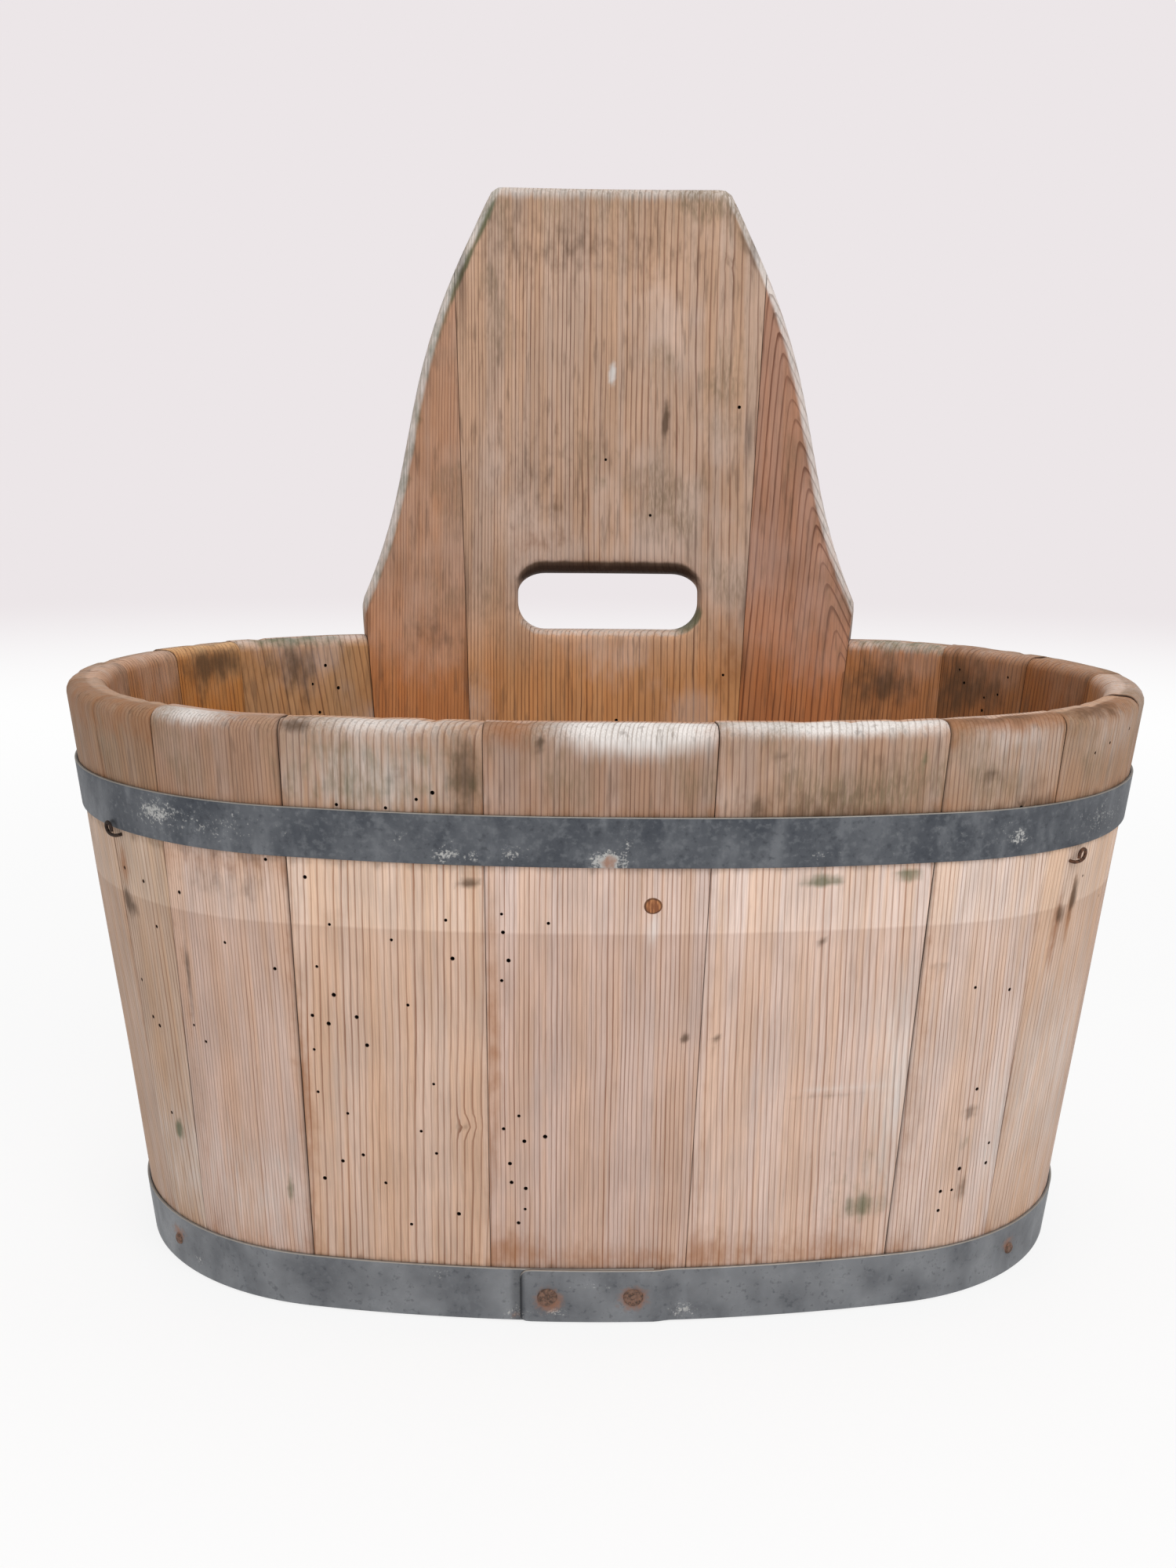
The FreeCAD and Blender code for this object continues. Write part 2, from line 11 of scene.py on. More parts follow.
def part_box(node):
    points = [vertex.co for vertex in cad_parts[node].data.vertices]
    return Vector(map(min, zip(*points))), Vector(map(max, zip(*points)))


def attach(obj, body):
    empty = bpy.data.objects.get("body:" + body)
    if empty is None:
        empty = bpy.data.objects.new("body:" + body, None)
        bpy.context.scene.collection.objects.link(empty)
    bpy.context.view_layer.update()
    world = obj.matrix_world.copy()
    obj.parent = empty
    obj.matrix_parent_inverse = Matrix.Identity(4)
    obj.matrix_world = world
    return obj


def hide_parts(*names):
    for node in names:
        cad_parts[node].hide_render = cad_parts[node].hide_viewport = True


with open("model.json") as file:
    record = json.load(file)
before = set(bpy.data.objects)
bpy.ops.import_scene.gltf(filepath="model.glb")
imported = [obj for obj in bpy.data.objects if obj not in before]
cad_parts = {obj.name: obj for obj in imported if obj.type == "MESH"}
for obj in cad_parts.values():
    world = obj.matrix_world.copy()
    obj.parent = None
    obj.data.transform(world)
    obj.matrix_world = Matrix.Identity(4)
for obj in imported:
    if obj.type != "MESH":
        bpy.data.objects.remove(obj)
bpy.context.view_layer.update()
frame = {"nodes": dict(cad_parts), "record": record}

# An oval coopered tub used as a cachepot: weathered softwood staves, two galvanised hoops, and a
# tall back board with a hand slot. Lengths are in millimetres and MM turns them into metres.
# An angle is the direction of the wall's outward normal, seen from above.
MM = 0.001

# The wall: an oval of four arcs at the rim, leaning in towards the foot
RIM_LENGTH = 500.0
RIM_DEPTH = 311.0
SIDE_RADIUS = 630.0
FLARE = 31.0
STAVE_THICKNESS = 18.0
RIM_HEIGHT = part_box("stave_front_middle")[1].z / MM
BOARD_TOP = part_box("tall_stave_middle")[1].z / MM

# Staves
RIM_OUTER_ROUND = 6.5
RIM_INNER_ROUND = 5.5
SAWN_EDGE_ROUND = 4.0
FOOT_BEVEL = 4.0
FOOT_ARRIS = 1.0
JOINT_ARRIS = 0.5
JOINT_STEPS = 3  # steps round the arris of a joint
JOINT_GAP = 0.04
JOINT_DIRT = 0.95  # how dark the dirt in the joints is
CROZE_HEIGHT = 14.0
CROZE_WIDTH = 9.0
CROZE_DEPTH = 6.0
CELL = 3.2  # how close the points of a stave's faces lie
EVEN_ROWS_BELOW_RIM = 60.0  # how far below the rim the evenly spaced rows of a short stave end
ROWS_TO_RIM = 18  # rows of points above the even ones, in a short stave
ROWS_TO_TOP = 60  # the same in a tall stave
ROWS_OVER_SLOT = 52  # the same in the tall stave with the slot
ROWS_BESIDE_CROZE = 7  # rows of points on the outside, below the croze's top
ROUND_STEPS = 5  # steps round an edge
TOP_STOPS = (0.33, 0.67)  # shares of the flat top at which points lie
SHARP_ANGLE = math.radians(50.0)  # edges sharper than this aren't shaded smooth
FACE_WAVE = 0.35  # how far a face wanders from true
FACE_WAVE_FROM = (20.0, 40.0)  # heights between which it starts to
TRUE_CORE = 1.0  # how far each side of the middle of its thickness a stave stays true
NEAR = 0.05  # two places nearer than this are the same
TRIES = 6  # steps towards a place on a leaning joint
RIM_WEAR = 0.9  # how far the rim is worn down in places
RIM_WEAR_FROM = (RIM_HEIGHT - 9.0, RIM_HEIGHT - 1.0)  # heights between which that starts
# Width and height, or depth on the rim, of the patches in which the faces wander and the rim is worn
WAVE_PATCH = (26.0, 90.0)
RIPPLE_PATCH = (9.0, 60.0)
CHIP_PATCH = (7.0, 9.0)
CHIP_START = 0.62  # random value, from 0 to 1, beyond which the rim is chipped
CHIP_DEPTH = 2.6  # how steeply chips deepen beyond it, in shares of RIM_WEAR
SWELL_PATCH = (40.0, 60.0)
SWELL_DEPTH = 0.8  # how far the rim sinks in long waves, as a share of RIM_WEAR
STAVES = [part["node"] for part in frame["record"]["subparts"] if part["material_slot"] == "stave_wood"]
TALL_STAVES = ["tall_stave_right", "tall_stave_middle", "tall_stave_left"]
# How far a stave's anticlockwise side leans that way as it rises, as a share of the rise
SIDE_LEANS = {
    "stave_back_right_inner": -0.075,
    "tall_stave_right": -0.035,
    "tall_stave_middle": 0.021,
    "tall_stave_left": 0.055,
    "stave_front_left_corner": 0.033,
    "stave_front_middle": 0.018,
    "stave_front_right_inner": 0.022,
}

# Back board: what the tall staves are sawn to above the rim
SHOULDER_HEIGHT = RIM_HEIGHT + 22.0
BOARD_TOP_WIDTH = 128.0
FLICK_RADIUS = 300.0
CROWN_RADIUS = 340.0
BOARD_CORNER_ROUND = 7.0
FLICK_WIDTH_SHARE = 0.902
FLICK_RISE_SHARE = 0.143
CROWN_WIDTH_SHARE = 0.742
CROWN_RISE_SHARE = 0.662

# Hand slot in the middle tall stave
SLOT_WIDTH = 100.0
SLOT_HEIGHT = 36.0
SLOT_CORNER_RADIUS = 15.0
SLOT_CORNER_STEPS = 16
SLOT_MIDDLE_HEIGHT = RIM_HEIGHT + 20.0
SLOT_LIP_ROUND = 4.5
SLOT_TOP_SAG = 5.0  # how far the upper lip bulges into the slot
SLOT_MARGIN = 13.0  # how far round the slot the face is laid out to follow it
SLOT_STOPS = (0.34, 0.67, 1.0)  # shares of the way in to the slot's lip at which rings of points lie

# Hoops
HOOP_THICKNESS = 1.25
HOOP_FIT = 0.1
HOOP_EDGE_ROUND = 0.45
LAP_LENGTH = 60.0
LAP_STEP = 9.0
LAP_CORNER_ROUND = 4.0
HOOP_WAVE = 0.35
HOOP_WAVE_LENGTH = 38.0
HOOP_EDGE_WAVE_LENGTH = 70.0
HOOP_TOP_CLEAR = 0.3  # keeps the wandering top edge under the solid's
HOOP_CELL = 2.5
HOOP_FACE_ROWS = 11  # rows of points up the outside
HOOP_EDGE_STEPS = 3
LAP_FOOT_CUT = 0.6  # how much the lapped end's lower corner is rounded, as a share of the upper one
HOOP_TURNS = 4000  # steps of the table that turns ways round the rim into directions
LAP_CORNER_STOPS = (0.03, 0.12, 0.3, 0.6)  # shares of the corner's rounding at which points lie
UPPER_HOOP_TILT = -0.006  # how much it drops towards the right-hand end

# Rivets, nails and the plug; wobble is how far a head is out of round, as a share of its radius
RIVET_HEAD_RADIUS = 4.2
RIVET_HEAD_HEIGHT = 1.5
RIVET_SEAT = 0.6  # how far a head is carried into what it sits on
RIVET_STEPS = 28
RIVET_WOBBLE = 0.035
NAIL_HEAD_RADIUS = 2.75
NAIL_HEAD_HEIGHT = 1.2
NAIL_SEAT = 0.4
NAIL_STEPS = 20
NAIL_WOBBLE = 0.07
SHANK_ROOT = 3.0  # how far the curled nails and the plug are carried into the wood
WIRE_RADIUS = 0.75
WIRE_LIFT = 2.6
WIRE_BEND = 1.6
WIRE_BEND_EASE = 0.3  # how far below the bent wire the middle of its bend lies
WIRE_ARM = 4.5
CURL_RADIUS = 2.8
CURL_TURN = math.radians(290.0)
CURL_STEPS = 8
CURL_LIFT = 0.12  # how far the curl rises off the wall with each radian
PLUG_RADIUS = 3.6
PLUG_EDGE = ((0.0, 0.0), (0.5, 0.3), (0.9, 0.4))  # how far in from its edge, and how far out of the wood
PLUG_PROUD = 0.45
PLUG_STEPS = 28
PLUG_WOBBLE = 0.03
PLUG_OUTLINE = 3  # rings of its points that are dark with dirt

HALF_LENGTH = RIM_LENGTH / 2
HALF_DEPTH = RIM_DEPTH / 2
END_RADIUS = 2 * SIDE_RADIUS * HALF_DEPTH - HALF_LENGTH**2 - HALF_DEPTH**2
END_RADIUS /= 2 * (SIDE_RADIUS - HALF_LENGTH)
END_CENTRE = HALF_LENGTH - END_RADIUS
SIDE_CENTRE = SIDE_RADIUS - HALF_DEPTH
END_TURN = math.atan2(SIDE_CENTRE, END_CENTRE)
LEAN = math.atan2(FLARE, RIM_HEIGHT)
WALL = STAVE_THICKNESS / math.cos(LEAN)
CROZE_TOP = CROZE_HEIGHT + CROZE_WIDTH


def wall(angle, depth, height):
    """Points of the wall in millimetres, from arrays of normal direction, depth from outside and height."""
    on_side = np.abs(np.sin(angle)) > math.sin(END_TURN)
    centre_x = np.where(on_side, 0.0, np.copysign(END_CENTRE, np.cos(angle)))
    centre_y = np.where(on_side, -np.copysign(SIDE_CENTRE, np.sin(angle)), 0.0)
    arm = wall_radius(angle, height) - depth
    return np.stack([centre_x + arm * np.cos(angle), centre_y + arm * np.sin(angle), height + 0 * arm], -1)


def wall_radius(angle, height):
    """Radius of the wall's outside face at a height."""
    on_side = np.abs(np.sin(angle)) > math.sin(END_TURN)
    return np.where(on_side, SIDE_RADIUS, END_RADIUS) - FLARE * (1 - height / RIM_HEIGHT)


def wall_place(points):
    """Normal direction, depth and height of points given in millimetres."""
    x, y, height = points.T
    side_y = y + np.copysign(SIDE_CENTRE, y)
    end_x = x - np.copysign(END_CENTRE, x)
    on_side = np.abs(side_y) > math.tan(END_TURN) * np.abs(x)
    angle = np.where(on_side, np.arctan2(side_y, x), np.arctan2(y, end_x))
    reach = np.where(on_side, np.hypot(x, side_y), np.hypot(end_x, y))
    return angle, wall_radius(angle, height) - reach, height


def way_round(angle):
    """Length along the rim from the right-hand end to a normal direction."""
    turns = [0, END_TURN, math.pi - END_TURN, math.pi + END_TURN, 2 * math.pi - END_TURN, 2 * math.pi]
    radii = [END_RADIUS, SIDE_RADIUS, END_RADIUS, SIDE_RADIUS, END_RADIUS]
    ways = np.concatenate([[0], np.cumsum(np.diff(turns) * radii)])
    turn = np.mod(angle, 2 * math.pi)
    return np.interp(turn, turns, ways)


def node_points(node):
    """A solid's points in millimetres."""
    return np.array([point.co for point in frame["nodes"][node].data.vertices]) / MM


def sideways(angle, points):
    """How far points lie anticlockwise of a normal direction at the rim, square to it."""
    away = points - wall(angle, 0.0, RIM_HEIGHT)
    return np.cos(angle) * away[..., 1] - np.sin(angle) * away[..., 0]


def stave_span(name):
    """The wall's normal directions at a stave's two sides, where they pass the rim's height."""
    angle, depth, height = wall_place(node_points(name))
    foot = (np.abs(depth) < NEAR) & (np.abs(height) < NEAR)
    middle = math.atan2(np.sin(angle[foot]).mean(), np.cos(angle[foot]).mean()) % (2 * math.pi)
    turns = np.mod(angle[foot] - middle + math.pi, 2 * math.pi) - math.pi
    sides = []
    for side, lean in zip((turns.min(), turns.max()), side_leans(name)):
        turn = np.array(middle + side)
        corner = wall(turn, 0.0, 0.0)
        for _ in range(TRIES):
            turn = turn + (sideways(turn, corner) + lean * RIM_HEIGHT) / wall_radius(turn, RIM_HEIGHT)
        sides.append(float(turn))
    return sides


def side_leans(name):
    """How far a stave's two sides lean: the first as much as the stave before it does."""
    before = STAVES[STAVES.index(name) - 1]
    return SIDE_LEANS.get(before, 0.0), SIDE_LEANS.get(name, 0.0)


def leaned(name, angle, depth, height):
    """Normal directions across a stave, moved as its sides lean, from those at the rim's height."""
    start, end = STAVE_SPANS[name]
    share = (angle - start) / (end - start)
    start_lean, end_lean = side_leans(name)
    aim = ((1 - share) * start_lean + share * end_lean) * (height - RIM_HEIGHT)
    turn = angle + 0 * aim
    for _ in range(TRIES):
        short = aim - sideways(angle, wall(turn, depth, height))
        turn = turn + short / (wall_radius(turn, height) - depth)
    return turn


STAVE_SPANS = {name: stave_span(name) for name in STAVES}


def node_places(node, gap=math.radians(1.0)):
    """Normal direction and height of each separate fitting in a node."""
    angle, depth, height = wall_place(node_points(node))
    order = np.argsort(np.mod(angle, 2 * math.pi))
    angle = np.mod(angle, 2 * math.pi)[order]
    height = height[order]
    groups = np.split(np.arange(len(angle)), np.nonzero(np.diff(angle) > gap)[0] + 1)
    places = []
    for group in groups:
        low, high = height[group].min(), height[group].max()
        places.append(((angle[group[0]] + angle[group[-1]]) / 2, (low + high) / 2))
    return places


def soft_noise(across, along, cell_across, cell_along, seed):
    """Smooth random values from 0 to 1 over a face, from a lattice of the given cell sizes."""
    count = 64
    lattice = np.random.default_rng(seed).random((count, count))
    x = np.asarray(across) / cell_across
    y = np.asarray(along) / cell_along
    column = np.floor(x).astype(int)
    row = np.floor(y).astype(int)
    x = x - column
    y = y - row
    x = x * x * (3 - 2 * x)
    y = y * y * (3 - 2 * y)
    low = lattice[column % count, row % count] * (1 - x) + lattice[(column + 1) % count, row % count] * x
    row = row + 1
    high = lattice[column % count, row % count] * (1 - x) + lattice[(column + 1) % count, row % count] * x
    return low * (1 - y) + high * y


def smooth_step(values, low, high):
    """Values eased from 0 to 1 as they pass between two bounds."""
    share = np.clip((values - low) / (high - low), 0, 1)
    return share * share * (3 - 2 * share)


def rounded_path(corners, closed, steps=8):
    """Points along straight lines whose corners are rounded, each corner being (across, up, radius)."""
    points = []
    for index, (across, up, radius) in enumerate(corners):
        corner = Vector((across, up))
        if radius == 0 or not (closed or 0 < index < len(corners) - 1):
            points.append(corner)
            continue
        back = (Vector(corners[index - 1][:2]) - corner).normalized()
        ahead = (Vector(corners[(index + 1) % len(corners)][:2]) - corner).normalized()
        half = back.angle(ahead) / 2
        centre = corner + (back + ahead).normalized() * radius / math.sin(half)
        start = corner + back * radius / math.tan(half) - centre
        turn = -start.angle_signed(corner + ahead * radius / math.tan(half) - centre)
        for step in range(steps + 1):
            points.append(centre + Matrix.Rotation(turn * step / steps, 2) @ start)
    return np.array(points)


# Back board's outline


def board_edges():
    """Left and right sides of the back board at its shoulder, on the inside face."""
    sides = []
    for name, side in ((TALL_STAVES[-1], 1), (TALL_STAVES[0], 0)):
        angle = leaned(name, np.array(STAVE_SPANS[name][side]), WALL, SHOULDER_HEIGHT)
        sides.append(wall(angle, WALL, SHOULDER_HEIGHT)[0])
    return sides


BOARD_LEFT, BOARD_RIGHT = board_edges()
BOARD_MIDDLE = (BOARD_LEFT + BOARD_RIGHT) / 2


def board_outline():
    """Distance from the board's middle and height along its sawn edge, from the top down."""
    half_width = (BOARD_RIGHT - BOARD_LEFT) / 2
    rise = BOARD_TOP - SHOULDER_HEIGHT
    shoulder = Vector((half_width, SHOULDER_HEIGHT))
    flick = Vector((FLICK_WIDTH_SHARE * half_width, SHOULDER_HEIGHT + FLICK_RISE_SHARE * rise))
    crown = Vector((CROWN_WIDTH_SHARE * half_width, SHOULDER_HEIGHT + CROWN_RISE_SHARE * rise))
    past = shoulder + (shoulder - flick).normalized() * STAVE_THICKNESS
    return rounded_path([
        (0, BOARD_TOP, 0),
        (BOARD_TOP_WIDTH / 2, BOARD_TOP, BOARD_CORNER_ROUND),
        (crown.x, crown.y, CROWN_RADIUS),
        (flick.x, flick.y, FLICK_RADIUS),
        (past.x, past.y, 0),
    ], False)


BOARD_OUTLINE = board_outline()


def sawn_height(name, angle, depth):
    """Height of the board's sawn edge where lines up a stave meet it."""
    height = np.full(np.shape(angle), SHOULDER_HEIGHT)
    for _ in range(2 * TRIES):
        across = np.abs(wall(leaned(name, angle, depth, height), depth, height)[..., 0] - BOARD_MIDDLE)
        height = np.interp(across, BOARD_OUTLINE[:, 0], BOARD_OUTLINE[:, 1])
    return height


# How each stave was cut from its log. ring_width is the spacing of the growth rings, spread narrows them
# anticlockwise, and slant leans them. Where flat_depth is given, the rings run flat and show as arches: it
# is how far the log's heart lies behind the inside face, heart how far to one side at the rim, lead how
# that grows with height, and tilt how fast rings run out upwards. swirl is a place across, a height, how
# far the rings are pushed aside there and how wide the swirl is. contrast is how strongly the rings show,
# and tint multiplies the wood's colour.
Log = namedtuple(
    "Log",
    "ring_width spread slant flat_depth heart tilt lead swirl contrast tint",
    defaults=(2.3, 0.0, 0.0, None, 0.0, 0.0, 0.0, (0.0, 0.0, 0.0, 1.0), 0.8, (1.0, 1.0, 1.0)),
)
STAVE_LOGS = {
    # The two left-end staves' darker tints also paint the shade that falls on the tub's left end
    "stave_left_end_front": Log(ring_width=2.4, contrast=0.5, tint=(0.84, 0.82, 0.78)),
    "stave_front_left_corner": Log(ring_width=2.3, contrast=0.7, tint=(0.84, 0.81, 0.74)),
    "stave_front_left_outer": Log(ring_width=1.6, slant=-0.02, contrast=0.65, tint=(0.95, 0.92, 0.92)),
    "stave_front_left_inner": Log(
        ring_width=3.0, slant=-0.03, swirl=(31.0, 94.0, 3.0, 4.0), contrast=0.9, tint=(1.02, 0.98, 0.93)
    ),
    "stave_front_middle": Log(ring_width=2.0, spread=0.003, contrast=0.9, tint=(0.96, 0.94, 0.96)),
    "stave_front_right_inner": Log(ring_width=2.6, slant=0.03, tint=(1.08, 1.09, 1.12)),
    "stave_front_right_outer": Log(ring_width=2.0, slant=0.04, tint=(1.08, 1.12, 1.17)),
    "stave_front_right_corner": Log(ring_width=2.3, contrast=0.6, tint=(1.0, 0.97, 0.92)),
    "tall_stave_middle": Log(
        ring_width=2.85, spread=0.0071, swirl=(-66.0, 466.0, 0.8, 3.5), contrast=0.95, tint=(1.4, 1.45, 1.5)
    ),
    "tall_stave_left": Log(ring_width=1.7, slant=0.03, contrast=0.65, tint=(1.21, 1.05, 0.95)),
    "tall_stave_right": Log(
        ring_width=3.2, flat_depth=1.5, heart=-16.5, tilt=0.29, lead=0.234, contrast=0.9,
        tint=(1.13, 0.93, 0.88),
    ),
    "stave_back_left_inner": Log(ring_width=3.4, slant=-0.12, tint=(1.14, 1.34, 1.58)),
    "stave_back_left_outer": Log(ring_width=2.4, tint=(1.16, 1.05, 0.72)),
    "stave_back_right_inner": Log(ring_width=2.2, slant=0.03, tint=(1.0, 0.91, 0.86)),
    "stave_back_right_outer": Log(ring_width=2.5, tint=(0.75, 0.67, 0.6)),
    "stave_right_end_back": Log(ring_width=2.7, tint=(0.73, 0.63, 0.53)),
}
RING_WIDTHS = (1.6, 3.0)
RING_SLANT = 0.04
RING_RAKE = 0.25  # how far the rings lean through a stave's thickness
GOOD_YEARS = 0.8  # how many rings' width the spacing wanders by
GOOD_YEARS_RUN = 4.0  # years that good or bad ones last


def stave_log(name):
    """How a stave was cut, drawn at random where it isn't listed."""
    if name in STAVE_LOGS:
        return STAVE_LOGS[name]
    draw = np.random.default_rng(len(name) * 31 + ord(name[-1]))
    return Log(ring_width=draw.uniform(*RING_WIDTHS), slant=draw.uniform(-RING_SLANT, RING_SLANT))


def ring_count(log, across, out, up):
    """Growth rings counted across a stave, at points in its own frame, some years wider than others."""
    if log.flat_depth:
        rise = up - RIM_HEIGHT
        aside = across - log.heart - log.lead * rise
        rings = (np.hypot(aside, log.flat_depth + out + WALL) + log.tilt * rise) / log.ring_width
    elif log.spread:
        rings = (np.exp(log.spread * across) - 1) / (log.spread * log.ring_width)
        rings = rings + RING_RAKE * out / log.ring_width
    else:
        rings = (across + log.slant * up + RING_RAKE * out) / log.ring_width
    place, level, push, reach = log.swirl
    swirl = np.exp(-((across - place) / reach) ** 2 - ((up - level) / reach) ** 2)
    rings = rings - push / log.ring_width * swirl
    return rings + GOOD_YEARS * soft_noise(rings, 0 * rings, GOOD_YEARS_RUN, 1.0, 5)


